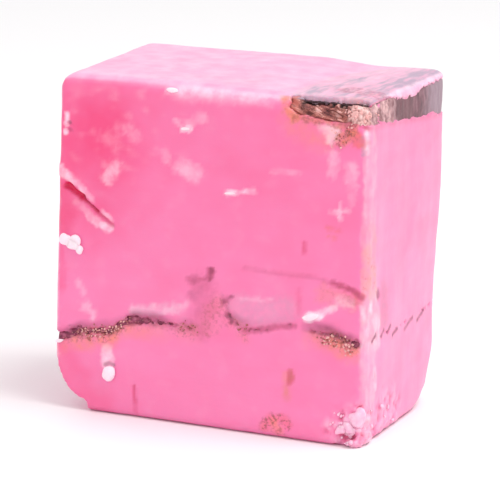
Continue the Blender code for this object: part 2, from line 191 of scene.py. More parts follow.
MARKS = {
    # The crack that runs down and inwards from the left edge, its lifted lip and the scraped place under it.
    # The crack is painted dark crimson as painted shade, and its lip and the scrape's end pale as painted
    # highlights.
    "crack": Mark([(-23.1, 33.8), (-22.1, 33.2), (-20.8, 32.3)], 0.28, 0.5, 0.7, deep=1.0, smear=0.05),
    "crack_tail": Mark(
        [(-20.8, 32.2), (-19.5, 31.2), (-18.3, 30.3)], 0.05, 0.3, 0.45, 0.2, deep=1.0, smear=0.28
    ),
    "crack_end": Mark([(-17.9, 30.0), (-15.7, 28.5)], 0.03, 0.4, 0.25, 0.2, deep=0.3, smear=0.15),
    "crack_glow": Mark([(-23.2, 32.6), (-23.4, 28.4)], 0.5, 2.2, 0.0, 0.8, deep=0.24),
    "crack_lip": Mark(
        [(-25.2, 37.0), (-23.6, 35.8), (-21.5, 34.3), (-20.6, 33.4)], 0.3, 0.7, -0.2, 0.4, pale=0.6
    ),
    "lip_middle": Mark([(-20.1, 33.0), (-19.1, 32.2)], 0.15, 0.6, -0.12, 0.4, pale=0.4),
    "lip_end": Mark([(-17.3, 30.3), (-15.9, 29.6)], 0.1, 0.5, -0.1, 0.5, pale=0.45),
    "scrape": Mark([(-21.8, 31.4), (-19.9, 29.9)], 0.25, 0.7, 0.06, 0.5, pale=0.22),
    "scrape_low": Mark([(-19.6, 29.4), (-18.2, 28.6)], 0.3, 0.7, -0.1, 0.4, pale=0.45),
    "scrape_end": Mark([(-17.5, 28.3), (-16.3, 27.9)], 0.3, 0.6, -0.1, 0.4, pale=0.7),
    "left_ring": Mark([(-23.3, 44.5), (-23.2, 43.7)], 0.2, 0.5, -0.06, pale=0.8),
    "left_ring_middle": Mark([(-23.5, 43.0), (-23.3, 42.8)], 0.15, 0.4, -0.05, pale=0.8),
    "left_ring_low": Mark([(-23.5, 42.0), (-23.4, 41.7)], 0.2, 0.4, -0.06, pale=0.8),
    # Painted shade in the dents inside the pale ring.
    "left_ring_dent_shade": Mark([(-22.9, 43.4), (-22.8, 43.2)], 0.08, 0.35, 0.1, 0.2, smear=0.7),
    "left_ring_dent_shade_low": Mark([(-22.9, 42.3), (-22.7, 42.2)], 0.08, 0.35, 0.1, 0.2, smear=0.5),
    # Scuffs and dry places, and painted highlights along the top front edge and on the flap's edge at the
    # right.
    # Painted highlight along the rounded top front edge.
    "top_glow": Mark([(-5.0, 50.4), (9.0, 50.6)], 0.7, 2.4, 0.0, 0.5, pale=0.62),
    "white_streak": Mark([(2.8, 35.15), (3.9, 35.3)], 0.15, 0.45, -0.05, 0.2, pale=1.0),
    "white_streak_end": Mark([(3.9, 35.3), (7.0, 35.8)], 0.05, 0.45, -0.03, 0.5, pale=0.6),
    "pull": Mark([(-4.7, 43.9), (-3.4, 44.0)], 0.2, 0.5, 0.05, 0.4, pale=0.65),
    "pull_tip": Mark([(-5.8, 45.0), (-4.8, 44.2)], 0.08, 0.5, 0.04, pale=0.35),
    "pull_up": Mark([(-3.8, 44.7), (-1.6, 45.9)], 0.25, 1.0, 0.04, 0.8, pale=0.25),
    "oval": Mark([(-7.0, 49.35), (-6.2, 49.3)], 0.2, 0.6, -0.08, pale=0.5),
    "smudge_left": Mark([(-15.1, 37.7), (-16.2, 35.8)], 0.3, 1.2, 0.03, 0.8, pale=0.5),
    "smudge_left_high": Mark([(-16.7, 41.6), (-15.0, 40.4)], 0.2, 1.4, 0.02, 1.0, pale=0.18),
    "smudge_high": Mark([(-13.6, 43.0), (-12.3, 42.2)], 0.3, 1.2, 0.02, 0.9, pale=0.22),
    "smudge_mid": Mark([(-4.4, 38.2), (-2.6, 37.4)], 0.6, 1.3, 0.03, 0.7, pale=0.36),
    "smudge_mid_left": Mark([(-7.3, 40.2), (-6.9, 39.2)], 0.2, 0.8, 0.02, 0.5, pale=0.3),
    "star": Mark([(18.9, 33.9), (20.5, 34.2), (22.1, 34.3)], 0.08, 0.5, -0.03, 0.5, pale=0.42),
    "star_arm": Mark([(20.4, 35.3), (20.5, 33.0)], 0.05, 0.45, -0.03, 0.5, pale=0.45),
    "star_second": Mark([(21.9, 36.6), (22.1, 35.4)], 0.2, 0.7, 0.0, 0.5, pale=0.15),
    "dry_high": Mark([(17.6, 45.9), (18.9, 45.4), (18.6, 44.6)], 0.5, 0.9, 0.03, 0.7, pale=0.75),
    "dry_middle": Mark([(19.0, 42.0), (19.1, 39.8)], 0.4, 1.0, 0.0, 0.8, pale=0.3),
    "dry_right": Mark([(21.8, 40.6), (21.9, 38.2)], 0.4, 1.0, 0.0, 0.8, pale=0.3),
    "dry_line": Mark([(9.9, 39.1), (13.9, 39.2)], 0.1, 0.6, 0.0, 0.6, pale=0.2),
    "left_streak": Mark([(-21.2, 19.6), (-20.4, 18.2)], 0.3, 0.6, 0.03, 0.6, pale=0.26),
    "left_streak_low": Mark([(-19.8, 16.0), (-18.7, 14.8)], 0.35, 0.8, 0.03, 0.8, pale=0.36),
    "left_rose": Mark([(-24.1, 24.0), (-24.0, 18.5)], 0.3, 1.3, 0.0, 0.7, rose=0.6),
    "bead_streak": Mark([(-16.2, 9.8), (-15.9, 7.6)], 0.55, 0.7, 0.03, 0.4, pale=0.66),
    "bead_shade": Mark([(-16.4, 7.5), (-15.7, 7.8), (-15.0, 7.6)], 0.08, 0.35, 0.12, 0.1, smear=0.55),
    "above_seam": Mark(
        [(-12.2, 16.1), (-7.6, 16.7), (-5.0, 17.1)], 0.35, 0.9, 0.0, 0.8, pale=0.34, lilac=0.15
    ),
    "above_seam_end": Mark([(-4.2, 17.4), (-3.2, 18.2)], 0.1, 0.7, 0.0, 0.5, pale=0.35),
    "lens": Mark([(4.9, 18.6), (8.4, 18.2), (12.4, 19.0)], 1.1, 1.8, 0.04, 0.8, pale=0.08, lilac=0.2),
    "lens_streak": Mark([(5.0, 19.9), (10.2, 20.2)], 0.1, 0.6, 0.0, 0.6, pale=0.3),
    "lens_end": Mark([(14.5, 22.2), (14.6, 19.0)], 0.05, 0.5, 0.03, 0.4, deep=0.2),
    # Painted highlight: the pale streak along the edge of the lifted flap at the right, with a white lump on
    # it.
    "drag": Mark([(16.0, 18.3), (17.7, 18.9)], 0.45, 0.5, -0.1, pale=1.0),
    "drag_highlight_line": Mark([(17.7, 18.9), (19.2, 19.8), (20.2, 20.3)], 0.12, 0.5, 0.03, pale=0.65),
    "drag_end": Mark([(20.7, 21.3), (22.6, 21.1)], 0.3, 0.8, -0.05, 0.7, pale=0.5),
    # Folds and creases, painted darker along their lines as painted shade.
    "crease": Mark([(-11.6, 4.9), (-11.4, 2.7), (-11.3, 0.2)], 0.05, 0.42, 0.14, 0.15, deep=0.5, smear=0.15),
    "fold": Mark(
        [(5.6, 24.4), (9.9, 24.2), (16.7, 24.3), (19.5, 23.8)], 0.05, 0.5, 0.06, deep=0.12, smear=0.14
    ),
    "fold_end": Mark(
        [(19.5, 23.8), (21.2, 23.4), (23.1, 22.9), (24.0, 22.0)], 0.15, 0.6, 0.14, deep=0.45, smear=0.5
    ),
    "fold_glow": Mark([(18.4, 22.3), (22.8, 21.4)], 0.4, 1.5, 0.0, 0.9, orange=0.3, specks=0.15),
    "fold_shade": Mark([(22.4, 21.7), (23.6, 21.3)], 0.2, 0.8, 0.0, 0.5, orange=0.4, smear=0.25),
    "middle_line": Mark(
        [(6.2, 15.3), (8.0, 15.5), (9.6, 16.0), (11.4, 16.5), (14.0, 16.9)],
        0.15, 0.6, 0.08, deep=0.25, smear=0.42,
    ),
    "middle_end": Mark([(2.6, 19.1), (3.7, 20.0)], 0.2, 0.45, 0.06, 0.5, deep=0.15, smear=0.9),
    "middle_end_low": Mark([(3.5, 17.2), (4.0, 16.6)], 0.3, 0.7, 0.06, 0.8, deep=0.15, smear=0.75),
    # Chocolate smeared and dotted over the fudge.
    "smudge": Mark([(-1.4, 15.0), (-0.4, 18.0), (-0.8, 20.8)], 0.8, 2.2, 0.03, 1.0, deep=0.14, smear=0.2),
    "smudge_dots": Mark([(0.4, 15.5), (1.6, 18.5)], 0.8, 1.8, 0.03, 1.0, orange=0.14, specks=0.32),
    "smudge_core": Mark([(-2.4, 19.5), (-1.2, 20.3)], 0.3, 1.2, 0.04, 0.7, deep=0.1, smear=0.3),
    "smudge_line": Mark([(-2.8, 21.7), (-0.2, 22.1)], 0.15, 0.8, 0.04, 0.5, deep=0.25, smear=0.5),
    "smudge_spot": Mark([(0.1, 22.4), (0.4, 23.3)], 0.25, 0.7, 0.12, deep=0.45, smear=0.85),
    "speck_tall": Mark([(13.5, 10.0), (13.5, 8.6)], 0.2, 0.5, 0.06, orange=0.5, deep=0.5, smear=0.35),
    "speck_side": Mark([(12.9, 9.6), (12.8, 8.4)], 0.2, 0.6, 0.0, orange=0.4),
    "speck_trail": Mark([(13.2, 8.2), (13.1, 6.4)], 0.2, 0.8, 0.0, 0.5, orange=0.42, smear=0.1),
    "base_specks": Mark(
        [(9.6, 1.4), (10.6, 2.6), (12.4, 3.2), (13.4, 2.2)],
        0.3, 0.7, 0.08, 0.4, deep=0.25, orange=0.25, specks=0.9,
    ),
    "base_smear": Mark([(11.2, 1.9), (12.0, 1.2)], 0.5, 1.0, 0.0, 0.6, orange=0.5, specks=0.5),
    "dark_speck": Mark([(15.0, 29.0), (15.1, 27.8)], 0.1, 0.45, 0.06, 0.1, deep=0.45, smear=0.1),
    "red_line_up": Mark([(18.5, 31.6), (20.4, 31.4)], 0.05, 0.5, 0.05, 0.4, orange=0.3, deep=0.25),
    "red_line_down": Mark([(18.7, 30.4), (19.9, 30.2)], 0.05, 0.45, 0.05, 0.4, orange=0.3, deep=0.2),
    # Under the slab's broken front.
    "slab_smear": Mark(
        [(19.8, 44.1), (20.9, 44.9), (21.6, 45.6), (21.8, 47.2)],
        0.4, 1.1, 0.06, 0.7, orange=0.7, smear=0.1, specks=0.8,
    ),
    "slab_fringe": Mark(
        [(13.2, 47.1), (15.0, 46.9), (18.4, 46.8), (20.4, 46.6)],
        0.25, 0.8, 0.04, 0.5, orange=0.6, smear=0.22, specks=0.5,
    ),
    "slab_fringe_end": Mark(
        [(19.8, 47.3), (21.4, 46.8)], 0.4, 0.6, 0.04, 0.5, orange=0.5, smear=0.5, specks=0.5
    ),
    "slab_blotch": Mark([(23.5, 46.6), (24.3, 46.4)], 0.2, 0.6, 0.05, 0.6, deep=0.5, smear=0.6),
    "slab_blotch_low": Mark([(22.2, 45.2), (22.9, 44.2)], 0.4, 0.9, 0.05, 0.7, deep=0.4, orange=0.4),
    "slab_tip": Mark(
        [(11.5, 50.2), (11.9, 48.4), (13.2, 46.9)], 0.4, 1.2, 0.0, 0.6, orange=0.8, specks=0.18, smear=0.06
    ),
    "slab_glow": Mark([(13.4, 46.4), (15.0, 45.6), (17.0, 45.0)], 0.8, 3.0, 0.0, 0.9, orange=0.34),
    "edge_chip": Mark([(24.4, 46.0), (24.6, 43.4), (25.0, 40.8)], 0.45, 0.7, 0.12, 0.4, pale=0.85),
    "edge_chip_shade": Mark([(23.5, 44.8), (23.8, 42.8)], 0.3, 0.5, 0.0, lilac=0.55),
    "edge_streak": Mark([(22.0, 41.0), (22.1, 36.0)], 0.2, 0.9, 0.0, 0.6, pale=0.12),
    # On the right side.
    "side_speck_up": Mark([(16.2, 38.4), (16.4, 37.9)], 0.15, 0.4, 0.0, 0.2, side="right", smear=0.9),
    "side_speck_down": Mark([(16.4, 36.3), (16.6, 35.9)], 0.15, 0.4, 0.0, 0.2, side="right", smear=0.9),
    "side_speck_low": Mark([(13.6, 25.0), (13.9, 24.3)], 0.2, 0.6, 0.05, 0.2, side="right", smear=0.4),
    "side_speck_near": Mark([(-11.0, 21.9), (-10.7, 21.4)], 0.3, 0.6, 0.05, 0.2, side="right", smear=0.8),
    "side_drag": Mark([(-8.6, 22.0), (-8.8, 17.5)], 0.4, 2.0, 0.0, 0.8, side="right", smear=0.2, lilac=0.2),
    "side_ring": Mark([(-12.4, 10.8), (-12.0, 8.2)], 0.35, 0.5, -0.06, side="right", pale=0.5),
    "side_ring_core": Mark([(-12.3, 10.2), (-12.1, 8.8)], 0.02, 0.3, 0.06, 0.2, side="right", smear=0.3),
}
# The right side shows the thin layer only in dashes, through a film of fudge: from and to, in Y and Z.
SIDE_DASHES = [
    ((-13.2, 15.2), (-12.0, 16.1)),
    ((-9.8, 15.2), (-8.8, 15.9)),
    ((-7.3, 15.2), (-6.3, 16.0)),
    ((-5.2, 14.4), (-3.2, 14.9)),
    ((-0.2, 14.1), (3.5, 15.1)),
    ((5.7, 14.1), (8.8, 15.1)),
]

# Where the cells of the mesh are halved, so that fine shapes show: side, line and half-width.
DETAILS = [
    ("front", [(-25.0, 36.0), (-15.0, 27.5)], 3.2),
    ("front", [(24.0, 50.0), (24.4, 0.0)], 2.2),
    ("front", [(19.0, 2.5), (26.0, 2.5)], 4.0),
    ("front", [(12.0, 48.5), (19.0, 47.0), (25.0, 46.0)], 3.6),
    ("right", [(-15.0, 3.0), (-4.0, 2.0)], 3.5),
    ("front", [(-23.8, 44.6), (-23.8, 41.6)], 1.2),
    ("front", [(-16.0, 9.8), (-15.7, 7.0)], 1.4),
    ("front", [(19.0, 44.4), (22.0, 46.0)], 2.0),
    ("front", [(-22.0, 2.2), (-19.0, 0.6)], 1.2),
    ("front", [(-24.4, 25.6), (-21.0, 24.6)], 1.2),
]

# The slab shows through the film of fudge over its top in streaks: lines along them, X and Y, half-widths
# across them and how strongly it shows. They are far softer along Y, the way the film was wiped.
WINDOWS = [
    ([(12.9, -13.0), (14.4, -8.0), (15.6, -3.6), (16.2, 1.0)], 1.1, 0.9),
    ([(17.6, -9.2), (18.8, -10.6)], 0.8, 0.8),
    ([(20.8, -13.0), (24.0, -12.6), (24.6, -8.4)], 0.9, 0.85),
    ([(21.4, -7.2), (20.2, -3.6)], 0.6, 0.6),
    ([(21.8, 0.2), (23.0, 4.0), (23.4, 13.0)], 1.9, 1.0),
]
WINDOW_SHAPE = (1.0, 0.3)
FILM_CRUMBS = [(19.0, -7.0), (24.5, -9.0)]  # where crumbs show through the film, X and Y
# Lower border of that film on the right side: Y and Z.
SIDE_FILM = [
    (-14.0, 50.2), (-8.0, 50.0), (-6.0, 49.6), (-3.6, 48.9), (-1.5, 48.5), (3.0, 48.2),
    (4.6, 48.5), (6.0, 49.1), (12.0, 49.2), (16.0, 49.4),
]

# Places on the front, X and Z: where the pink is deepest, the middle of the pale blotches, the worn edge.
PINK_DEEPEST = (-27.0, 45.0)
BLOTCHES = (-14.0, 43.0)
WORN_EDGE = [(-24.5, 9.0), (-23.0, 4.5), (-19.0, 1.5)]
# Middles of the crumbled corner and of the right side's crumbled foot.
CRUMBLED_CORNER = (24.6, -16.4, 1.6)
CRUMBLED_SIDE = (25.0, -7.0, 1.0)

# ---- The photo's camera, moved nearer ----

CAMERA_PLACE = (183.81, -436.52, 130.78)
AIM = (0.24, 0.0, 23.5)
ROLL = math.radians(0.78)  # keeps the slopes that the piece has off the photo's middle
SENSOR = 36.0
PHOTO_LENS = 126.5  # for the whole photo
NEARER = 1.85  # how much larger the piece is shown

# ---- Floor and lamps, in metres: each lamp's place and the side of its square ----

FLOOR_RADIUS = 1.6
LAMP_AIM = (0.0, 0.0, 0.025)
LAMPS = {"key": ((0.27, -0.02, 0.53), 0.35), "fill": ((-0.35, -0.5, 0.3), 0.4)}


def linear(code):
    """A colour for a shader from its sRGB hex code."""
    values = [int(code[start : start + 2], 16) / 255.0 for start in (0, 2, 4)]
    return tuple(v / 12.92 if v <= 0.04045 else ((v + 0.055) / 1.055) ** 2.4 for v in values)


def colour_of(name, code, about):
    """A colour property whose default is an sRGB hex code."""
    start = linear(code)
    return FloatVectorProperty(name=name, description=about, subtype="COLOR", min=0.0, max=1.0, default=start)


def length_of(name, size, about):
    """A length property whose default is in millimetres."""
    return FloatProperty(name=name, description=about, default=size * MM, unit="LENGTH")


def count_of(name, number, about):
    """A whole number that isn't below 0."""
    return IntProperty(name=name, description=about, default=number, min=0)


class FudgeSettings(bpy.types.PropertyGroup):
    """Sizes and colours of the fudge."""

    cell: length_of("Cell", 0.42, "Size of the mesh's cells")
    form_cell: length_of("Form cell", 1.1, "Cell size of the plain form that trims the chocolate")
    uneven: length_of("Unevenness", 0.35, "How far the cut sides swell and sink")
    pink: colour_of("Pink", "F281B3", "The cut fudge")
    # Rose also carries a painted shadow at the upper left of the front, and painted shade on the right side.
    rose: colour_of("Rose", "EE4C84", "Clouds of a stronger pink in it")
    # Pale also paints the top and the right side paler as painted light, and the painted highlights on the
    # crack's lip, the top front edge, the flap at the right and the front right edge.
    pale: colour_of("Pale", "FFDCEB", "Dry bloom and scraped places")
    # Deep is also painted shade: in the crack, along the creases and folds, and in the crumbled corner's
    # hollows.
    deep: colour_of("Deep", "DC0450", "Moist fudge in cracks and creases")
    orange: colour_of("Orange", "F08C6A", "Cocoa butter and caramel smeared by the knife")
    # Smear also carries painted shade: along the foot of the front and the right side's back edge, in dents,
    # under the bead and the fold, and in the crumbled hollows.
    smear: colour_of("Smear", "8E3659", "Chocolate smeared thin over the fudge")
    specks: colour_of("Specks", "964C4A", "Fine chocolate dust")
    lilac: colour_of("Lilac", "A88DA4", "The slab seen through a thin film of fudge")


class ChocolateSettings(bpy.types.PropertyGroup):
    """Sizes and colours of the chocolate."""

    cell: length_of("Cell", 0.2, "Size of the mesh's cells")
    thickness: length_of("Layer", 0.9, "Thickness of the thin layer")
    dark: colour_of("Dark", "56242A", "Fresh break")
    cream: colour_of("Cream", "ECB8B4", "Pale fat and fudge caught in the break")
    bloom: colour_of("Bloom", "B9A0B6", "Dusty bloom on the moulded top")
    tan: colour_of("Tan", "C47A6E", "Crumbled break")
    maroon: colour_of("Maroon", "68183A", "The thin layer, drawn out in warm fudge")


class CrumbSettings(bpy.types.PropertyGroup):
    """Sizes and numbers of the loose bits."""

    seed: count_of("Seed", 11, "Start of the random scatter")
    pink_count: count_of("Pink crumbs", 45, "Crumbs at the broken corner")
    chocolate_count: count_of("Chocolate crumbs", 150, "Crumbs along the layer")
    fat_count: count_of("Pale fat crumbs", 80, "Pale crumbs under the layer")
    break_count: count_of("Break crumbs", 26, "Crumbs at the slab's corner")
    white: colour_of("White", "FFE8F1", "Sugary white chips")
    crumb: colour_of("Crumb", "FFDDEC", "Pink crumbs")


class StudioSettings(bpy.types.PropertyGroup):
    """Light, floor and lens."""

    lens: FloatProperty(name="Lens", description="Focal length", default=PHOTO_LENS * NEARER, unit="CAMERA")
    sky: FloatProperty(name="Sky", description="Strength of the white surroundings", default=0.9)
    key: FloatProperty(name="Key", description="Power of the large lamp on the right, in watts", default=2.1)
    fill: FloatProperty(name="Fill", description="Power of the lamp at the front left, in watts", default=0.3)
    floor: colour_of("Floor", "F4F2F3", "The pale floor")


# ---- Small tools ----


def deselect_all():
    """Nothing selected, in object mode."""
    if bpy.context.object and bpy.context.object.mode != "OBJECT":
        bpy.ops.object.mode_set(mode="OBJECT")
    bpy.ops.object.select_all(action="DESELECT")


def take(piece, name):
    """Name a piece, select it alone and return it."""
    piece.name = piece.data.name = name
    deselect_all()
    piece.select_set(True)
    bpy.context.view_layer.objects.active = piece
    return piece


def new_piece(name, add, **settings):
    """A primitive made by its operator, named and alone selected."""
    deselect_all()
    add(**settings)
    return take(bpy.context.object, name)


def remove(piece):
    """Delete an object and its mesh."""
    mesh = piece.data
    bpy.data.objects.remove(piece, do_unlink=True)
    bpy.data.meshes.remove(mesh)


def apply(piece, kind, **settings):
    """Add a modifier with its settings and apply it."""
    take(piece, piece.name)
    made = piece.modifiers.new(kind.lower(), kind)
    for name, value in settings.items():
        setattr(made, name, value)
    bpy.ops.object.modifier_apply(modifier=made.name)


def read(items, name):
    """A vector of each vertex or face, one row each."""
    values = np.empty(len(items) * 3, np.float32)
    items.foreach_get(name, values)
    return values.reshape(-1, 3).astype(float)


def points_of(piece):
    """Vertex places, one row each, in millimetres."""
    return read(piece.data.vertices, "co") / MM


def move_to(piece, places):
    """Put the vertices at these places, in millimetres."""
    piece.data.vertices.foreach_set("co", (places * MM).astype(np.float32).ravel())
    piece.data.update()


def edit(piece, kind, chosen, change, **settings):
    """Run an edit mode operator on the chosen vertices or faces only. chosen is one truth value for each."""
    take(piece, piece.name)
    bpy.ops.object.mode_set(mode="EDIT")
    bpy.ops.mesh.select_mode(type="VERT" if kind == "vertices" else "FACE")
    bpy.ops.mesh.select_all(action="DESELECT")
    bpy.ops.object.mode_set(mode="OBJECT")
    getattr(piece.data, kind).foreach_set("select", np.asarray(chosen, bool))
    bpy.ops.object.mode_set(mode="EDIT")
    change(**settings)
    bpy.ops.object.mode_set(mode="OBJECT")


def turn_outwards(piece):
    """Turn the piece's faces outwards."""
    every = np.ones(len(piece.data.polygons), bool)
    edit(piece, "polygons", every, bpy.ops.mesh.normals_make_consistent, inside=False)


def extrude(piece, way):
    """Make a flat piece a solid by a way in metres."""
    every = np.ones(len(piece.data.polygons), bool)
    move = {"value": way}
    edit(piece, "polygons", every, bpy.ops.mesh.extrude_region_move, TRANSFORM_OT_translate=move)
    turn_outwards(piece)


def fade(value, full, none):
    """1 where value is at full, 0 where it is at none, and smooth between."""
    part = np.clip((value - none) / (full - none), 0.0, 1.0)
    return part * part * (3.0 - 2.0 * part)


def noise_at(places):
    """Smooth noise at each place, whose lumps are about one unit large."""
    return np.array([noise.noise(Vector(place)) for place in places])


def between(values, limits):
    """Which values lie between two limits."""
    return (values > limits[0]) & (values < limits[1])


def swell(points, length, seed=0.0, stretch=(1.0, 1.0, 1.0)):
    """Smooth noise of about -1 to 1 at each point. length is the size of its lumps, longer along stretch."""
    return noise_at(points / (np.array(stretch) * length) + seed * 7.31) * 1.6


def rough(points, length, seed=0.0):
    """Noise with finer lumps on its lumps."""
    scaled = points / length + seed * 3.17
    return np.array([noise.fractal(Vector(place), 1.0, 2.1, 3) for place in scaled])


def from_line(flat, line):
    """Distance of flat points from a line of points."""
    best = np.full(len(flat), np.inf)
    for start, end in zip(line, line[1:]):
        start, way = np.array(start), np.subtract(end, start)
        part = np.clip((flat - start) @ way / (way @ way), 0.0, 1.0)
        best = np.minimum(best, np.linalg.norm(flat - start - part[:, None] * way, axis=1))
    return best


def along(line, values):
    """Height of a line of points at each value, eased between the points."""
    heights = np.full(len(values), float(line[-1][1]))
    for (x0, z0), (x1, z1) in reversed(list(zip(line, line[1:]))):
        heights = np.where(values <= x1, z0 + (z1 - z0) * fade(values, x1, x0), heights)
    return heights


def per_mm(length):
    """Scale of a texture on Object coordinates whose pattern is about length millimetres large."""
    return 1.0 / (length * MM)


def new_material(name):
    """A material with a Principled shader: returns it, its tree, its shader and the Object coordinates."""
    material = bpy.data.materials.new(name)
    material.use_nodes = True
    tree = material.node_tree
    place = add_node(tree, "TexCoord").outputs["Object"]
    return material, tree, tree.nodes["Principled BSDF"], place


def wire(tree, node, values):
    """Link or set a node's inputs: a socket is linked, anything else is the input's value."""
    for key, value in values.items():
        if isinstance(value, bpy.types.NodeSocket):
            tree.links.new(value, node.inputs[key])
        else:
            node.inputs[key].default_value = value


def add_node(tree, kind, values=None, **settings):
    """Add a shader node with its settings, and link or set its inputs."""
    made = tree.nodes.new(f"ShaderNode{kind}")
    for name, value in settings.items():
        setattr(made, name, value)
    wire(tree, made, values or {})
    return made


def opaque(colour):
    """A colour with full alpha, from its sRGB hex code or its linear values."""
    return (*(linear(colour) if isinstance(colour, str) else colour), 1.0)


# ---- Finishes ----


def fudge_finish(look):
    """Strawberry fudge, sugar and milk fat cut with a knife: waxy, softly translucent, clouded pink."""
    material, tree, shader, place = new_material("cut_strawberry_fudge")
    # Lump size, detail, and the scale along each axis, lower where the pattern is drawn out. Over the slab
    # the film is wiped from front to back, knife drag runs level across the sides, and dried film stands in
    # upright streaks where the surface is painted paler, most of it painted light on the top and the right
    # side.
    lumps = {
        "clouds": (11.0, 3.0, (1.0, 1.0, 1.0)),
        "fine": (1.6, 4.0, (1.0, 1.0, 1.0)),
        "grain": (0.5, 2.0, (1.0, 1.0, 1.0)),
        "wipes": (0.9, 3.0, (1.0, 0.22, 1.0)),
        "drag": (0.9, 3.0, (0.12, 0.12, 1.0)),
        "streaks": (2.6, 3.0, (1.0, 1.0, 0.14)),
    }
    patterns = {}
    for name, (length, detail, scale) in lumps.items():
        drawn = add_node(tree, "Mapping", {"Vector": place, "Scale": scale}).outputs["Vector"]
        values = {"Vector": drawn, "Scale": per_mm(length), "Detail": detail}
        patterns[name] = add_node(tree, "TexNoise", values).outputs["Fac"]

    # Each tint's attribute is multiplied by a pattern, mapped from its low and high to least and most.
    tints = {
        "rose": ("clouds", 0.30, 0.70, 0.55, 1.2),
        "film": ("streaks", 0.35, 0.70, 0.6, 1.1),
        "lilac": ("wipes", 0.34, 0.66, 0.5, 1.3),
        "pale": ("fine", 0.32, 0.62, 0.45, 1.15),
        "deep": ("fine", 0.25, 0.60, 0.8, 1.15),
        "orange": ("fine", 0.30, 0.66, 0.35, 1.2),
        "smear": ("fine", 0.30, 0.66, 0.6, 1.15),
        "specks": ("grain", 0.47, 0.66, 0.0, 0.95),
    }
    colour, amounts = opaque(look.pink), {}
    for name, (pattern, *limits) in tints.items():
        values = {"Value": patterns[pattern], **dict(enumerate(limits, 1))}
        share = add_node(tree, "MapRange", values).outputs["Result"]
        values = {0: add_node(tree, "Attribute", attribute_name=name).outputs["Fac"], 1: share}
        amount = add_node(tree, "Math", values, operation="MULTIPLY", use_clamp=True).outputs[0]
        amounts[name] = amount
        values = {0: amount, 6: colour, 7: opaque(look.pale if name == "film" else getattr(look, name))}
        colour = add_node(tree, "Mix", values, data_type="RGBA").outputs[2]

    roughness = 0.34
    for amount, share in ((patterns["clouds"], 0.12), (amounts["pale"], 0.22)):
        values = {0: amount, 1: share, 2: roughness}
        roughness = add_node(tree, "Math", values, operation="MULTIPLY_ADD").outputs[0]
    relief = {}
    for name, strength, depth in (("drag", 0.25, 0.12), ("fine", 0.35, 0.16), ("grain", 0.25, 0.05)):
        values = {"Height": patterns[name], "Strength": strength, "Distance": depth * MM, **relief}
        relief = {"Normal": add_node(tree, "Bump", values).outputs["Normal"]}
    wire(tree, shader, {"Base Color": colour, "Roughness": roughness, "IOR": 1.48, **relief})
    # Light goes a millimetre or two into the fudge, red the furthest.
    scatter = {"Weight": 0.35, "Radius": (1.0, 0.35, 0.45), "Scale": 1.4 * MM}
    wire(tree, shader, {f"Subsurface {name}": value for name, value in scatter.items()})
    return material


def slab_finish(look):
    """Milk chocolate bar: moulded faces dulled by fat, and a dark layered break that crumbles pale."""
    material, tree, shader, place = new_material("broken_milk_chocolate")
    # Lump size, turn and stretch. The break's layers fall to the right, the side was torn off its neighbour
    # and stands in upright fibres, and the film on the top is wiped from front to back.
    lumps = {
        "layers": (0.45, LAYER_FALL, (4.0, 2.5, 1.0)),
        "fine": (0.6, 0.0, (1.0, 1.0, 1.0)),
        "fibres": (1.0, 0.0, (1.0, 1.0, 2.5)),
        "wipes": (0.9, 0.0, (1.0, 4.545, 1.0)),
    }
    patterns = {}
    for name, (length, turn, stretch) in lumps.items():
        values = {"Vector": place, "Rotation": (0.0, turn, 0.0), "Scale": stretch}
        drawn = add_node(tree, "Mapping", values, vector_type="TEXTURE").outputs["Vector"]
        values = {"Vector": drawn, "Scale": per_mm(length), "Detail": 3.0}
        patterns[name] = add_node(tree, "TexNoise", values).outputs["Fac"]

    dark, tan, cream, bloom = look.dark, look.tan, look.cream, look.bloom
    ramps = {
        "layers": {
            0.38: dark, 0.43: "A25450", 0.47: "4E1E22", 0.52: "C0746C",
            0.56: "58262A", 0.60: tan, 0.67: cream,
        },
        "fine": {0.32: "8A5A58", 0.42: "C4908E", 0.54: "EABAB6", 0.68: "FCD8D6"},
        "fibres": {0.34: "865C5E", 0.46: "AC8286", 0.56: "CCA0A2", 0.70: "E2B8B8"},
        "side fibres": {0.30: "5A3C46", 0.50: "724852", 0.70: "946A74"},
        "wipes": {0.38: bloom, 0.52: "A5909F", 0.64: bloom},
    }
    colours = {}
    for name, stops in ramps.items():
        ramp = add_node(tree, "ValToRGB", {"Fac": patterns[name.split()[-1]]})
        for _ in range(len(stops) - 2):
            ramp.color_ramp.elements.new(0.5)
        for element, (position, colour) in zip(ramp.color_ramp.elements, stops.items()):
            element.position = position
            element.color = opaque(colour)
        colours[name] = ramp.outputs["Color"]

    # Each attribute says where its colour lies over the ones before it, and fibrous where crumbs are fibres.
    names = ("fibrous", "moulded", "top", "dusty", "frayed", "crumbled", "stained", "gap")
    amounts = {}
    for name in names:
        amounts[name] = add_node(tree, "Attribute", attribute_name=name).outputs["Fac"]
    values = {0: amounts["fibrous"], 6: colours["fine"], 7: colours["fibres"]}
    crumbled = add_node(tree, "Mix", values, data_type="RGBA").outputs[2]
    over = {
        "moulded": colours["side fibres"],
        "top": colours["wipes"],
        "dusty": opaque("A08894"),
        "frayed": opaque("6E464C"),
        "crumbled": crumbled,
        "stained": opaque("CC766C"),
        # Painted shadow in the gap under the film and in the hole.
        "gap": opaque("34181A"),
    }
    colour = colours["layers"]
    for name, upper in over.items():
        values = {0: amounts[name], 6: colour, 7: upper}
        colour = add_node(tree, "Mix", values, data_type="RGBA").outputs[2]
    values = {"Value": amounts["top"], 3: 0.5, 4: 0.3}
    roughness = add_node(tree, "MapRange", values).outputs["Result"]
    relief = {}
    for name, strength, depth in (("layers", 0.5, 0.2), ("fine", 0.4, 0.1), ("fibres", 0.3, 0.1)):
        values = {"Height": patterns[name], "Strength": strength, "Distance": depth * MM, **relief}
        relief = {"Normal": add_node(tree, "Bump", values).outputs["Normal"]}
    wire(tree, shader, {"Base Color": colour, "Roughness": roughness, "IOR": 1.47, **relief})
    return material


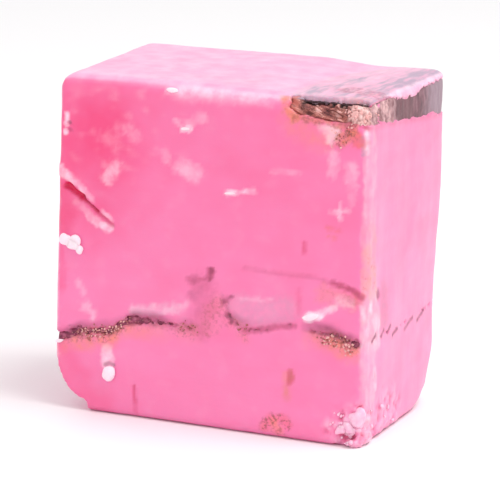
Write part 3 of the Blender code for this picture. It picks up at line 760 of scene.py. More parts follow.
def ribbon_finish(look):
    """Thin chocolate drawn out in warm fudge: purple brown, with pale and dark crumbs on its lower side."""
    material, tree, shader, place = new_material("drawn_out_chocolate")
    patterns = {}
    for name, length, detail in (("fine", 0.9, 3.0), ("dots", 0.34, 2.0)):
        values = {"Vector": place, "Scale": per_mm(length), "Detail": detail}
        patterns[name] = add_node(tree, "TexNoise", values).outputs["Fac"]
    ramp = add_node(tree, "ValToRGB", {"Fac": patterns["fine"]})
    ramp.color_ramp.elements.new(0.5)
    stops = {0.38: look.maroon, 0.54: "8C2F52", 0.70: "B05A78"}
    for element, (position, colour) in zip(ramp.color_ramp.elements, stops.items()):
        element.position = position
        element.color = opaque(colour)
    colour = ramp.outputs["Color"]
    low = add_node(tree, "Attribute", attribute_name="low").outputs["Fac"]
    for none, full, crumbs in ((0.56, 0.62, "EBA99C"), (0.45, 0.40, look.dark)):
        values = {"Value": patterns["dots"], 1: none, 2: full}
        share = add_node(tree, "MapRange", values).outputs["Result"]
        amount = add_node(tree, "Math", {0: share, 1: low}, operation="MULTIPLY").outputs[0]
        values = {0: amount, 6: colour, 7: opaque(crumbs)}
        colour = add_node(tree, "Mix", values, data_type="RGBA").outputs[2]
    values = {"Height": patterns["dots"], "Strength": 0.5, "Distance": 0.1 * MM}
    relief = add_node(tree, "Bump", values).outputs["Normal"]
    wire(tree, shader, {"Base Color": colour, "Normal": relief, "Roughness": 0.5, "IOR": 1.47})
    return material


def bit_finish(name, colour, dark, scatter):
    """A crumb's finish: sugary fudge or chocolate, dull and slightly uneven in colour."""
    material, tree, shader, place = new_material(name)
    values = {"Vector": place, "Scale": per_mm(0.8), "Detail": 2.0}
    fine = add_node(tree, "TexNoise", values).outputs["Fac"]
    values = {0: fine, 6: opaque(colour), 7: opaque(dark)}
    mixed = add_node(tree, "Mix", values, data_type="RGBA").outputs[2]
    values = {"Height": fine, "Strength": 0.3, "Distance": 0.1 * MM}
    relief = add_node(tree, "Bump", values).outputs["Normal"]
    wire(tree, shader, {"Base Color": mixed, "Normal": relief, "Roughness": 0.5})
    scatter = {"Weight": scatter, "Radius": (1.0, 0.6, 0.7), "Scale": 0.8 * MM}
    wire(tree, shader, {f"Subsurface {name}": value for name, value in scatter.items()})
    return material


# ---- The block ----


def letters_of(place):
    """The letters of the sides that a corner of the cube touches."""
    return ("L" if place[0] < 0 else "R") + ("F" if place[1] < 0 else "B") + ("D" if place[2] < 0 else "U")


def side_of(face):
    """The letter of the side that a face looks towards most."""
    axis = max(range(3), key=lambda number: abs(face.normal[number]))
    return ("LR", "FB", "DU")[axis][face.normal[axis] > 0.0]


def round_edges(piece, widths):
    """Round the piece's sharp edges, each by its own width."""
    shape = bmesh.new()
    shape.from_mesh(piece.data)
    shape.normal_update()
    layers = shape.edges.layers.float
    weight = layers.get("bevel_weight_edge") or layers.new("bevel_weight_edge")
    widest = max(widths.values())
    for edge in shape.edges:
        sides = {side_of(face) for face in edge.link_faces}
        width = next((width for name, width in widths.items() if set(name) == sides), 0.0)
        edge[weight] = width / widest if edge.calc_face_angle(0.0) >= SHARP else 0.0
    shape.to_mesh(piece.data)
    shape.free()
    bevel = {"limit_method": "WEIGHT", "width": widest * MM, "segments": STEPS, "use_clamp_overlap": False}
    apply(piece, "BEVEL", **bevel)


def combine(piece, other, operation):
    """Take another piece away, or keep what the two share."""
    apply(piece, "BOOLEAN", operation=operation, object=other, solver="EXACT")


def remesh(piece, cell):
    """Make the piece's mesh anew from even cells."""
    apply(piece, "REMESH", mode="VOXEL", voxel_size=cell, use_smooth_shade=True)


def block_form(name, cell, uneven):
    """The block's outer form: a cube with its corners moved, its edges worn, broken and uneven."""
    piece = new_piece(name, bpy.ops.mesh.primitive_cube_add, size=2.0 * MM)
    starts = points_of(piece)
    corners = [letters_of(start) for start in starts]
    for corner, start in zip(corners, starts):
        chosen = [other == corner for other in corners]
        way = (Vector(CORNERS[corner]) - Vector(start)) * MM
        edit(piece, "vertices", chosen, bpy.ops.transform.translate, value=way)
    round_edges(piece, WIDE_ROUNDING)
    round_edges(piece, ROUNDING)

    add = bpy.ops.mesh.primitive_circle_add
    cutter = new_piece("left_cutter", add, vertices=len(LEFT_CUT), radius=MM, fill_type="NGON")
    move_to(cutter, np.array([(x, -CUT_REACH, z) for x, z in LEFT_CUT]))
    extrude(cutter, (0.0, 2.0 * CUT_REACH * MM, 0.0))
    cutters = [cutter]
    add = bpy.ops.mesh.primitive_ico_sphere_add
    for number, (middle, radius) in enumerate(BITES):
        cutter = new_piece("bite_cutter", add, subdivisions=3, radius=radius * MM)
        places = points_of(cutter)
        lumps = noise_at(places * BITE_LUMPS + np.array((number * BITE_SHIFT, 0.0, 0.0)))
        move_to(cutter, places * (1.0 + BITE_ROUGHNESS * lumps)[:, None] + np.array(middle))
        cutters.append(cutter)
    for cutter in cutters:
        combine(piece, cutter, "DIFFERENCE")
        remove(cutter)

    remesh(piece, cell)
    places, normals = points_of(piece), read(piece.data.vertex_normals, "vector")
    flat = np.clip(places[:, 2] / FLAT_BELOW, 0.0, 1.0)
    lumps = noise_at(places / UNEVEN_LENGTH)
    moved = places + normals * (lumps * flat * uneven / MM)[:, None]
    for middle, reach, push in PUSHES:
        near = fade(np.linalg.norm(places - np.array(middle), axis=1), 0.0, reach)
        moved += near[:, None] * np.array(push)
    moved[:, 2] = np.maximum(moved[:, 2], 0.0)
    move_to(piece, moved)
    return piece


def on_side(side, points, normals):
    """Each point's place across a side, and how much it looks that way, 0 to 1."""
    across, up, out, way = SIDES[side]
    facing = fade(normals[:, out] * way, 0.75, 0.35)
    return points[:, [across, up]], facing


def ribbon_height(name, points):
    """Height of a ribbon's middle at each point's X and Y."""
    inside = np.clip((points[:, 1] - RIBBON_FRONT) / RIBBON_WAVE_FROM, 0.0, 1.0)
    wave = noise_at(np.insert(points[:, :2] * RIBBON_WAVE_SCALE, 2, RIBBON_WAVE_SEED, axis=1))
    return along(RIBBONS[name], points[:, 0]) + RIBBON_WAVE * inside * wave


def slab_underside(x, y):
    """Height of the slab's underside, which falls to the right and to the back."""
    return SLAB_UNDERSIDE + SLAB_FALL[0] * (x - SLAB_CORNER[0]) + SLAB_FALL[1] * (y - SLAB_CORNER[1])


def slab_edge(y):
    """X of the slab's inner edge at each Y."""
    return np.interp(y, [place[1] for place in SLAB_EDGE], [place[0] for place in SLAB_EDGE])


def refine(piece):
    """Halve the cells where fine shapes come, such as cracks, the layer's edge and the broken corners."""
    count = len(piece.data.polygons)
    centres, normals = read(piece.data.polygons, "center") / MM, read(piece.data.polygons, "normal")
    chosen = np.zeros(count, bool)
    for side, line, reach in DETAILS:
        flat, facing = on_side(side, centres, normals)
        chosen |= (from_line(flat, line) < reach) & (facing > 0.0)
    band = between(centres[:, 2], HALVED_BAND)
    near = np.full(count, np.inf)
    for name, line in RIBBONS.items():
        inside = np.maximum(line[0][0] - centres[:, 0], centres[:, 0] - line[-1][0])
        rise = np.full(count, np.inf)
        rise[band] = np.abs(centres[band, 2] - ribbon_height(name, centres[band]))
        near = np.minimum(near, np.where(inside < 1.0, rise, np.inf))
    chosen |= near < HALVED_NEAR
    x, y, z = centres.T
    chosen |= (x > slab_edge(y) - 1.0) & (z > 49.0)
    chosen |= (x > 18.0) & (np.abs(z - slab_underside(x, y)) < 1.0) & (y > -12.0)
    edit(piece, "polygons", chosen, bpy.ops.mesh.subdivide, number_cuts=1)


def write_attributes(piece, amounts):
    """Store numbers at each vertex, 0 to 1, for the material to read."""
    for name, values in amounts.items():
        made = piece.data.attributes.new(name, "FLOAT", "POINT")
        made.data.foreach_set("value", np.clip(values, 0.0, 1.0).astype(np.float32))


def seam(points, right):
    """For each point: distance from the nearest ribbon, height above it, and how that ribbon looks there."""
    near, above = np.full(len(points), 99.0), np.zeros(len(points))
    looks = {look: np.zeros(len(points)) for look in RIBBON_LOOKS}
    band = between(points[:, 2], LAYER_BAND)
    some = points[band]
    for name, line in RIBBONS.items():
        rise = some[:, 2] - ribbon_height(name, some)
        aside = np.maximum(0.0, np.maximum(line[0][0] - some[:, 0], some[:, 0] - line[-1][0]))
        distance = np.hypot(aside, rise)
        closer = distance < near[band]
        near[band] = np.where(closer, distance, near[band])
        above[band] = np.where(closer, rise, above[band])
        places, *runs = zip(*RIBBON_RUNS[name])
        for look, run in zip(RIBBON_LOOKS, runs):
            here = np.interp(some[:, 0], places, run) * fade(aside, 0.0, 1.0)
            looks[look][band] = np.where(closer, here, looks[look][band])
    return near, above, {look: amount * (1.0 - right) for look, amount in looks.items()}


class Skin:
    """The block's surface while it is weathered: its points, which way they face, its tints and its depth."""

    def __init__(self, piece):
        self.points, self.normals = points_of(piece), read(piece.data.vertex_normals, "vector")
        self.front = fade(-self.normals[:, 1], 0.7, 0.3)
        self.right = fade(self.normals[:, 0], 0.7, 0.3)
        self.up = fade(self.normals[:, 2], 0.8, 0.5)
        self.coarse = swell(self.points, 3.0, 2.0)
        self.ragged = swell(self.points, 0.9, 1.0)
        self.crumbly = swell(self.points, 0.5, 13.0)
        self.tints = {name: np.zeros(len(self.points)) for name in TINTS}
        self.depth = 0.035 * self.coarse + 0.012 * self.ragged

    def noises(self):
        """The three sizes of lumps that make borders uneven."""
        return self.coarse, self.ragged, self.crumbly

    def more(self, **amounts):
        """Raise tints to these amounts where they are less."""
        for name, amount in amounts.items():
            self.tints[name] = np.maximum(self.tints[name], amount)


def cloud(skin):
    """Lay the clouds of stronger pink, the dried film and the pale blotches, with painted light and shade
    among them.
    """
    points, front, right = skin.points, skin.front, skin.right
    x, y, z = points.T
    facing_x, facing_y, facing_z = skin.normals.T
    coarse, ragged, _ = skin.noises()
    # The pink is deepest at the upper left, a painted shadow of the block that lay on top, and grows lighter
    # downwards.
    corner = np.hypot(x - PINK_DEEPEST[0], z - PINK_DEEPEST[1]) + 2.0 * coarse
    mottling = 0.5 + 0.5 * swell(points, 5.0, 22.0) + 0.35 * swell(points, 1.8, 23.0, (2.5, 2.5, 1.0))
    rose = 0.85 * fade(corner, 5.0, 27.0) * (1.0 - right) * (1.0 - skin.up) + 0.22 * fade(z, 42.0, 14.0)
    # A little more on the right side: painted shade that tones down the light on it.
    rose += (0.14 + 0.08 * right) * mottling.clip(0.0)
    rose += 0.5 * front * fade(from_line(points[:, [0, 2]], WORN_EDGE) + coarse, 1.2, 5.0)
    # Painted light: the top and the right side are painted paler for the light that falls on them, laid as a
    # streaky dried film, and the back and the left a little too.
    film = 0.42 * fade(facing_z, 0.9, 0.4) + 0.14 * fade(facing_x, 0.85, 0.4)
    film += 0.20 * fade(facing_y, 0.8, 0.4) + 0.10 * fade(-facing_x, 0.8, 0.4)
    blotches = fade(swell(points, 2.2, 21.0) + 0.5 * swell(points, 0.9, 26.0, (2.0, 1.0, 1.0)), 1.2, 0.1)
    upper_left = fade(np.hypot(x - BLOTCHES[0], z - BLOTCHES[1]), 5.0, 12.0)
    pale = blotches * (0.04 + 0.12 * front * upper_left) + 0.3 * front * fade(x + 0.3 * ragged, -24.9, -24.2)
    # Painted shade: darker along the foot of the front and along the right side's back edge.
    smear = 0.16 * front * fade(z, 0.3, 1.1) + 0.18 * right * fade(y, 16.0, 14.8)
    skin.more(rose=rose, film=film, pale=pale, smear=smear, lilac=0.06 * right)


def lay_marks(skin):
    """Lay the cracks, creases, scuffs and smears, with the painted shade and highlights among them."""
    wander = 0.3 * skin.crumbly + 0.4 * skin.ragged + 0.3 * skin.coarse
    for mark in MARKS.values():
        flat, facing = on_side(mark.side, skin.points, skin.normals)
        distance = from_line(flat, mark.line) + mark.ragged * wander
        amount = fade(distance, mark.width, mark.width + mark.soft) * facing
        skin.depth += mark.depth * amount
        skin.more(**{tint: share * amount for tint, share in mark.tints.items()})


def open_layer(skin):
    """Let the thin layer out in a shallow, ragged groove, with a stain over it and warm fat under it."""
    coarse, ragged, crumbly = skin.noises()
    near, above, layer = seam(skin.points, skin.right)
    groove = near + 0.3 * ragged + 0.3 * crumbly + 0.9 * (1.0 - layer["bare"])
    skin.depth += 0.5 * fade(groove, 0.45, 0.95)
    edge = fade(near + 0.25 * coarse + 0.2 * ragged, 0.4, 1.2) * (0.1 + 0.5 * layer["bare"])
    over = fade(above + 0.4 * coarse, 0.7, 1.9) * fade(above, 0.0, -0.6) * fade(near, 2.0, 3.0)
    under = fade(-above + 0.5 * coarse + 0.3 * ragged, 1.4, 3.4)
    under *= fade(above, -0.3, 0.3) * fade(near, 3.2, 4.4)
    dotted = fade(np.abs(above + 0.4) + 0.3 * ragged, 0.9, 1.5) * layer["dots"]
    skin.more(smear=edge * fade(layer["bare"], 0.15, 0.0), orange=0.72 * under * layer["fat"])
    skin.more(smear=0.8 * over * layer["stain"], orange=0.4 * dotted, specks=0.75 * dotted)
    for start, end in SIDE_DASHES:
        stroke = from_line(skin.points[:, [1, 2]], [start, end]) + 0.1 * ragged
        skin.more(smear=0.85 * fade(stroke, 0.08, 0.5) * skin.right)


def bare_slab(skin):
    """Bare the slab's front and right side, under the ragged border of the film over its top."""
    points, right = skin.points, skin.right
    x, y, z = points.T
    coarse, ragged, crumbly = skin.noises()
    inside = x - slab_edge(y)
    cover = SLAB_COVER * fade(x, 22.0, 18.0)
    cover += 0.5 * fade(x + 0.3 * coarse, 12.2, 13.2) * fade(y, -12.0, -10.0)
    rise = z - slab_underside(x, y) - cover
    bare = fade(rise + 0.15 * ragged + 0.25 * coarse, 0.25, -0.1) * fade(inside + 0.4 * ragged, 0.2, -0.3)
    frontal = fade(-skin.normals[:, 1], 0.3, 0.12)
    border = np.interp(y, *zip(*SIDE_FILM))
    drips = 0.22 * swell(points, 0.5, 6.0, (1.0, 1.0, 1.4)) + 0.25 * crumbly
    sideways = (1.0 - skin.up) * fade(z + drips, border, border + 0.25)
    bare *= np.maximum(frontal * fade(y + 0.2 * ragged + 0.15 * crumbly, -13.2, -12.9), sideways)
    skin.depth += (0.45 + 1.8 * frontal) * bare
    hanging = (1.0 - bare) * right * fade(z, border + 0.3, border - 0.3) * fade(inside, 0.5, -0.5)
    seam_below = fade(np.abs(rise), 0.3, 1.1) * fade(inside, 0.5, 0.0) * right
    skin.more(pale=0.5 * hanging, lilac=0.25 * hanging, smear=0.25 * seam_below)


def wipe_film(skin):
    """Wipe the film over the slab's top, so that the slab shows in streaks and at the front rim."""
    points = skin.points
    x, y, z = points.T
    coarse, ragged, crumbly = skin.noises()
    inside = x - slab_edge(y)
    veil = fade(inside + 0.5 * coarse, 1.0, -0.6) * fade(z, 49.3, 48.6) * skin.up
    window = np.zeros(len(points))
    wipes = 0.5 * swell(points, 0.7, 5.0, (1.0, 5.0, 1.0)) + 0.15 * crumbly
    for line, width, share in WINDOWS:
        reach = from_line(points[:, :2] * WINDOW_SHAPE, np.multiply(line, WINDOW_SHAPE)) + wipes
        window = np.maximum(window, share * fade(reach, 0.5 * width, width + 0.5))
    skin.more(lilac=veil * (0.43 + 0.24 * fade(x, 24.0, 19.0) + 0.4 * window))
    skin.tints["film"] += 0.15 * veil
    rim = veil * fade(y + 0.4 * ragged, -12.4, -11.4)
    skin.more(lilac=0.8 * rim, smear=0.2 * rim)
    lip = fade(z, 50.1, 49.7) * fade(y + 0.4 * ragged, -12.2, -11.4) * fade(inside, 0.5, -0.5)
    skin.more(pale=0.35 * lip, lilac=0.7 * lip, orange=0.2 * lip * fade(x, 21.0, 18.0))
    mottled = veil * fade(from_line(points[:, :2], FILM_CRUMBS) + 0.5 * coarse, 1.2, 3.0)
    crumbs = mottled * fade(crumbly + 0.5 * ragged, 0.0, -0.6)
    skin.more(smear=0.4 * crumbs, lilac=0.6 * mottled, orange=0.1 * mottled)
    skin.depth += 0.12 * mottled * ragged


def scrape_and_highlight_edge(skin):
    """Make the front right rounded edge pale, partly as a painted highlight along the rounding and partly
    scraped, warmer and dusty half way up.
    """
    x, y, z = skin.points.T
    coarse, ragged, _ = skin.noises()
    edge = 25.4 - 0.022 * z  # it leans to the left as it rises
    whitish = fade(np.abs(z - 18.0) + coarse, 3.0, 5.0)
    band = fade(x + 0.12 * coarse + 0.15 * ragged, edge - 0.7, edge - 1.15)
    band *= fade(y + 0.3 * coarse + 0.2 * ragged - 1.8 * whitish, -12.9, -11.2) * fade(z, 47.0, 48.0)
    streaky = 0.8 + 0.4 * swell(skin.points, 0.8, 24.0, (1.0, 1.0, 4.0))
    patchy = fade(swell(skin.points, 0.9, 25.0, (1.0, 1.0, 2.0)), 0.4, -0.5)
    warm = fade(np.abs(z - 26.5) + 2.0 * coarse, 3.0, 6.0)
    dusty = fade(np.abs(z - 25.0) + coarse, 2.0, 4.0) * fade(ragged, 0.5, -0.1)
    # The pale band along the rounding is partly a painted highlight.
    skin.more(pale=(0.28 + 0.4 * whitish * patchy) * band * streaky, lilac=0.35 * whitish * band)
    skin.more(orange=band * (0.08 + 0.34 * warm), specks=0.4 * band * dusty)
    skin.depth += band * (0.06 * ragged + 0.08 * coarse)


def crumble_corner(skin):
    """Crumble the lower right corner, and a little the right side's foot."""
    corner = np.linalg.norm(skin.points - np.array(CRUMBLED_CORNER), axis=1)
    foot = np.linalg.norm(skin.points - np.array(CRUMBLED_SIDE), axis=1) * 0.8
    crumbled = fade(corner + 0.9 * skin.coarse, 3.4, 6.4)
    crumbled = np.maximum(crumbled, 0.45 * fade(foot + 0.9 * skin.coarse, 3.6, 6.6))
    lumps = rough(skin.points, 1.5, 1.0)
    skin.depth += crumbled * (0.10 + 0.5 * lumps)
    skin.more(pale=crumbled * (0.12 + 0.4 * fade(lumps, -0.35, 0.2)))
    # Painted shade: deeper red and darker in the hollows between the lumps.
    skin.more(deep=crumbled * 0.45 * fade(lumps, 0.45, 0.15))
    skin.more(smear=crumbled * 0.55 * fade(lumps + 0.3 * skin.crumbly, 0.65, 0.4))


def weather(piece):
    """Give the block its colours, marks, the bare chocolate's places, crumbled corner and relief."""
    skin = Skin(piece)
    for step in (cloud, lay_marks, open_layer, bare_slab, wipe_film, scrape_and_highlight_edge, crumble_corner):
        step(skin)
    moved = skin.points - skin.normals * skin.depth[:, None]
    # The base stays flat.
    moved[:, 2] = np.where(skin.points[:, 2] < 0.02, 0.0, np.maximum(moved[:, 2], 0.0))
    move_to(piece, moved)
    write_attributes(piece, skin.tints)


# ---- The chocolate ----


def near_form(piece, form):
    """For each vertex: how far inside the block's form it lies, and the form's normal there."""
    inner, normals = [], []
    for vertex in piece.data.vertices:
        _, place, normal, _ = form.closest_point_on_mesh(vertex.co)
        inner.append((place - vertex.co).dot(normal) / MM)
        normals.append(normal)
    return np.array(inner), np.array(normals)


def make_slab(look, form):
    """The slab in the upper right corner, trimmed by the block's form."""
    cells, add = len(SLAB_EDGE) - 1, bpy.ops.mesh.primitive_grid_add
    piece = new_piece("broken_chocolate_slab", add, x_subdivisions=1, y_subdivisions=cells, size=2.0 * MM)
    places = points_of(piece)
    edge = np.array(SLAB_EDGE)[np.rint((places[:, 1] + 1.0) / 2.0 * cells).astype(int)]
    flat = np.column_stack([np.where(places[:, 0] < 0.0, edge[:, 0], SLAB_PAST[0]), edge[:, 1]])
    move_to(piece, np.column_stack([flat, slab_underside(*flat.T)]))
    extrude(piece, (0.0, 0.0, SLAB_RISE * MM))
    places = points_of(piece)
    above = places[:, 2] > slab_underside(places[:, 0], places[:, 1]) + SLAB_RISE / 2.0
    places[above, 2] = SLAB_PAST[1]
    move_to(piece, places)
    combine(piece, form, "INTERSECT")
    remesh(piece, look.cell)
    break_slab(piece, form)
    finish_piece(piece, slab_finish(look))
    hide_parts("chocolate_slab")


def break_slab(piece, form):
    """Dull the slab's moulded faces, and give its front a layered break that crumbles at the right corner."""
    points = points_of(piece)
    inner, outward = near_form(piece, form)
    x, y, z = points.T
    rim = fade(inner, 0.15, 0.5)
    frontal = fade(-outward[:, 1], 0.4, 0.15)
    top = fade(outward[:, 2], 0.92, 0.75) * rim
    broken = fade(-outward[:, 1], 0.8, 0.35) * rim * (1.0 - top)
    whole = 1.0 - broken
    corner = fade(x + 0.4 * swell(points, 1.5, 9.0), 21.6, 20.4) * fade(y, -7.0, -3.0)
    layered = broken * (1.0 - corner)
    # The break's layers, seen along them.
    cosine, sine = math.cos(LAYER_FALL), math.sin(LAYER_FALL)
    turned = np.column_stack([x * cosine - z * sine, y, z * cosine + x * sine])
    ridges = np.abs(swell(turned, 0.8, 3.0, (4.0, 3.0, 1.0)))
    spots = fade(swell(turned, 0.45, 27.0, (2.0, 2.0, 1.0)), 0.75, 0.35) * layered
    # Painted shadow: the gap under the film and the hole are painted near black.
    gap = from_line(points[:, [0, 2]], SLAB_GAP) + 0.5 * swell(points, 0.6, 6.0)
    hole = from_line(points[:, [0, 2]], SLAB_HOLE) - 0.15
    gap = fade(np.minimum(gap, hole), 0.25, 0.65) * frontal
    low_rim = fade(z - slab_underside(x, y) + 0.5 * swell(points, 0.5, 8.0) - 0.3, 0.0, 0.7)
    tip = fade(x + 0.4 * swell(points, 0.7, 8.0) + 0.25 * (z - 49.0), 13.0, 14.0)
    lumps = swell(points, 1.1, 4.0)
    fibres = swell(points, 0.7, 7.0, (1.0, 1.0, 3.0)) * (1.0 - top)
    depth = (0.12 + 0.35 * top * fade(y, -12.3, -12.9)) * rim + layered * (0.1 + 0.8 * ridges)
    depth += corner * rim * (1.0 - top) * (0.1 - 0.15 * lumps + 0.3 * rough(points, 0.5, 4.0)) + 0.5 * gap
    depth += (0.02 * swell(points, 2.0, 7.0) + 0.05 * fibres) * whole * rim
    move_to(piece, points - outward * (depth * rim)[:, None])
    amounts = {
        "moulded": np.maximum(top, whole),
        "fibrous": fade(-outward[:, 1], 0.3, 0.7),
        "top": top,
        "crumbled": corner * (1.0 - 0.5 * top),
        "gap": np.maximum(gap, 0.65 * spots),
        "stained": np.maximum(0.4 * low_rim, 0.8 * tip) * frontal * (1.0 - corner),
        "dusty": 0.8 * fade(y + 0.6 * lumps, 11.0, 5.0) * whole,
        "frayed": 0.6 * fade(np.abs(y + 1.0) + 0.3 * lumps, 2.0, 4.5) * whole * (1.0 - top),
    }
    write_attributes(piece, amounts)


def make_ribbon(name, look, form, material):
    """One ribbon of the thin layer, ragged where it comes out of the block."""
    line = RIBBONS[name]
    length = line[-1][0] - line[0][0]
    cells, add = round(length / RIBBON_CELL), bpy.ops.mesh.primitive_grid_add
    settings = {"x_subdivisions": cells, "y_subdivisions": RIBBON_ROWS, "size": 2.0}
    piece = new_piece(f"thin_chocolate_{name}", add, **settings)
    places = points_of(piece) * MM
    places[:, 0] = line[0][0] + length * (places[:, 0] + 1.0) / 2.0
    places[:, 1] *= CUT_REACH
    places[:, 2] = ribbon_height(name, places)
    move_to(piece, places)
    apply(piece, "SOLIDIFY", thickness=look.thickness, offset=0.0, use_even_offset=True)
    combine(piece, form, "INTERSECT")
    remesh(piece, look.cell)

    points = points_of(piece)
    inner, outward = near_form(piece, form)
    rim = fade(inner, 0.1, 0.6)
    across, bare, dots, *_ = zip(*RIBBON_RUNS[name])
    hidden = 1.0 - np.interp(points[:, 0], across, bare) * fade(outward[:, 0], 0.3, 0.7)
    depth = rim * (0.14 + 0.14 * swell(points, 0.8, 8.0) + 0.08 * swell(points, 0.35, 9.0) + 0.45 * hidden)
    points -= outward * depth[:, None]
    middle = ribbon_height(name, points)
    fatter = 1.0 + rim * (0.35 + 0.5 * swell(points, 1.6, 10.0))
    rise = (points[:, 2] - middle) * fatter
    points[:, 2] = middle + rise + rim * 0.18 * swell(points, 1.1, 12.0)
    move_to(piece, points)
    write_attributes(piece, {"low": fade(rise, 0.0, 0.4) * np.interp(points[:, 0], across, dots)})
    finish_piece(piece, material)
    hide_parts(f"chocolate_ribbon_{name}")


def finish_piece(piece, material):
    """Smooth shading, its material, and the body that it moves with."""
    piece.data.shade_smooth()
    piece.data.materials.clear()
    piece.data.materials.append(material)
    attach(piece, "root")


# ---- Loose bits ----

OUTSIDE = 80.0  # where straight lines onto a side start, clear of the block
BIT_LUMPS = 0.45  # size of the lumps on a bit that is 1 mm large


def surface(pieces, side, place):
    """Where a straight line onto a side first meets a piece, in millimetres, and the normal there."""
    across, up, out, way = SIDES[side]
    start, towards = Vector((0.0, 0.0, 0.0)), Vector((0.0, 0.0, 0.0))
    start[across], start[up], start[out] = place[0] * MM, place[1] * MM, way * OUTSIDE * MM
    towards[out] = -way
    found = [piece.ray_cast(start, towards) for piece in pieces]
    hits = [(spot[out] * way, spot / MM, normal) for hit, spot, normal, _ in found if hit]
    if not hits:
        raise ValueError(f"nothing to put a bit on at {place} of the {side}")
    _, spot, normal = max(hits, key=lambda hit: hit[0])
    return spot, normal


def add_bit(pieces, side, place, size, turn, seed, subdivisions=3, sunk=0.25, lumpy=0.25):
    """A lump lying on a side: its size across, up and out, turned in the side's plane, sunk in by a share."""
    spot, normal = surface(pieces, side, place)
    across, up, out, way = SIDES[side]
    add = bpy.ops.mesh.primitive_ico_sphere_add
    piece = new_piece("bit", add, subdivisions=subdivisions, radius=0.5 * MM)
    points = points_of(piece)
    points *= 1.0 + lumpy * swell(points, BIT_LUMPS, float(seed))[:, None]
    local = points * np.array(size)
    cosine, sine = math.cos(turn), math.sin(turn)
    first = local[:, 0] * cosine - local[:, 1] * sine
    second = local[:, 0] * sine + local[:, 1] * cosine
    placed = np.zeros_like(points)
    placed[:, across], placed[:, up], placed[:, out] = first, second, local[:, 2] * way
    middle = np.array(spot) + np.array(normal) * size[2] * (0.5 - sunk)
    move_to(piece, placed + middle)
    return piece


def add_bits(pieces, rows, first_seed, sunk, lumpy):
    """Bits at chosen places on the front: place, size across, up and out, and turn in degrees."""
    return [
        add_bit(pieces, "front", place, size, math.radians(turn), first_seed + number, 3, sunk, lumpy)
        for number, (place, size, turn) in enumerate(rows)
    ]


def join(bits, name):
    """Join bits into one piece."""
    deselect_all()
    for bit in bits:
        bit.select_set(True)
    bpy.context.view_layer.objects.active = bits[0]
    bpy.ops.object.join()
    piece = take(bits[0], name)
    turn_outwards(piece)
    return piece


# White chips on the front: place, size across, up and out, and turn in degrees.
WHITE_CHIPS = [
    ((-23.3, 25.7), (1.9, 1.9, 0.8), 0.0),
    ((-21.7, 25.6), (1.7, 2.0, 0.8), 10.0),
    ((-22.1, 25.1), (2.4, 1.7, 0.8), -30.0),
    ((-21.0, 24.4), (1.2, 1.3, 0.7), 20.0),
    ((-15.6, 6.2), (2.0, 2.4, 1.1), -10.0),
    # A painted highlight on the flap's edge, made as a white lump.
    ((16.5, 18.5), (2.6, 1.0, 0.4), 14.0),
    ((-6.3, 49.35), (1.9, 0.75, 0.4), -3.0),
    ((-24.1, 10.1), (1.3, 0.55, 0.5), 12.0),
    ((3.1, 35.15), (1.7, 0.36, 0.16), 6.0),
    ((-4.2, 43.9), (1.4, 0.45, 0.2), 4.0),
]
# Larger pale pieces at the crumbled corner.
CORNER_CHUNKS = [
    ((23.9, 4.2), (2.5, 3.6, 1.5), -18.0),
    ((23.0, 3.0), (2.2, 1.8, 1.1), -25.0),
    ((21.7, 2.6), (1.8, 1.2, 0.7), 30.0),
]
# Pale lumps in the slab's broken front corner.
SLAB_LUMPS = [
    ((22.2, 48.2), (1.1, 0.9, 0.4), 20.0),
    ((23.5, 47.8), (0.9, 0.8, 0.4), -30.0),
]


def make_white_chips(look, pieces):
    """Sugary white chips pressed into the front, and one white lump that is a painted highlight on the flap's
    edge.
    """
    piece = join(add_bits(pieces, WHITE_CHIPS, 1.0, 0.25, 0.15), "white_chips")
    finish_piece(piece, bit_finish("sugary_white_chip", look.white, "FFD9E8", 0.3))


def make_pink_crumbs(look, pieces, rng):
    """Crumbs and larger bits of fudge that hang on at the broken corner."""
    bits = add_bits(pieces, CORNER_CHUNKS, 20.0, 0.3, 0.35)
    for number in range(look.pink_count):
        if number % 6:
            side, place = "front", (min(rng.normal(22.6, 1.3), 24.2), rng.uniform(0.5, 5.0))
        else:
            side, place = "right", (rng.uniform(-15.0, -4.0), rng.uniform(0.8, 5.0))
        size = rng.uniform(0.3, 0.8) * rng.uniform(0.7, 1.3, 3)
        turn, seed = rng.uniform(0.0, math.pi), rng.uniform(0.0, 50.0)
        bits.append(add_bit(pieces, side, place, size, turn, seed, 1))
    piece = join(bits, "fudge_crumbs")
    finish_piece(piece, bit_finish("fudge_crumb", look.crumb, "F797C0", 0.3))


def scatter(pieces, rng, count, runs, sizes):
    """Small crumbs along lines on the front. runs: share of the count, line, X from and to, spread, lift."""
    bits = []
    for share, line, (low, high), spread, lift in runs:
        for _ in range(round(count * share)):
            across = rng.uniform(low, high)
            up = along(line, np.array([across]))[0] + lift + rng.normal(0.0, spread)
            size = rng.uniform(*sizes) * rng.uniform(0.7, 1.4, 3)
            turn, seed = rng.uniform(0.0, math.pi), rng.uniform(0.0, 50.0)
            bits.append(add_bit(pieces, "front", (across, up), size, turn, seed, 1, 0.3))
    return bits


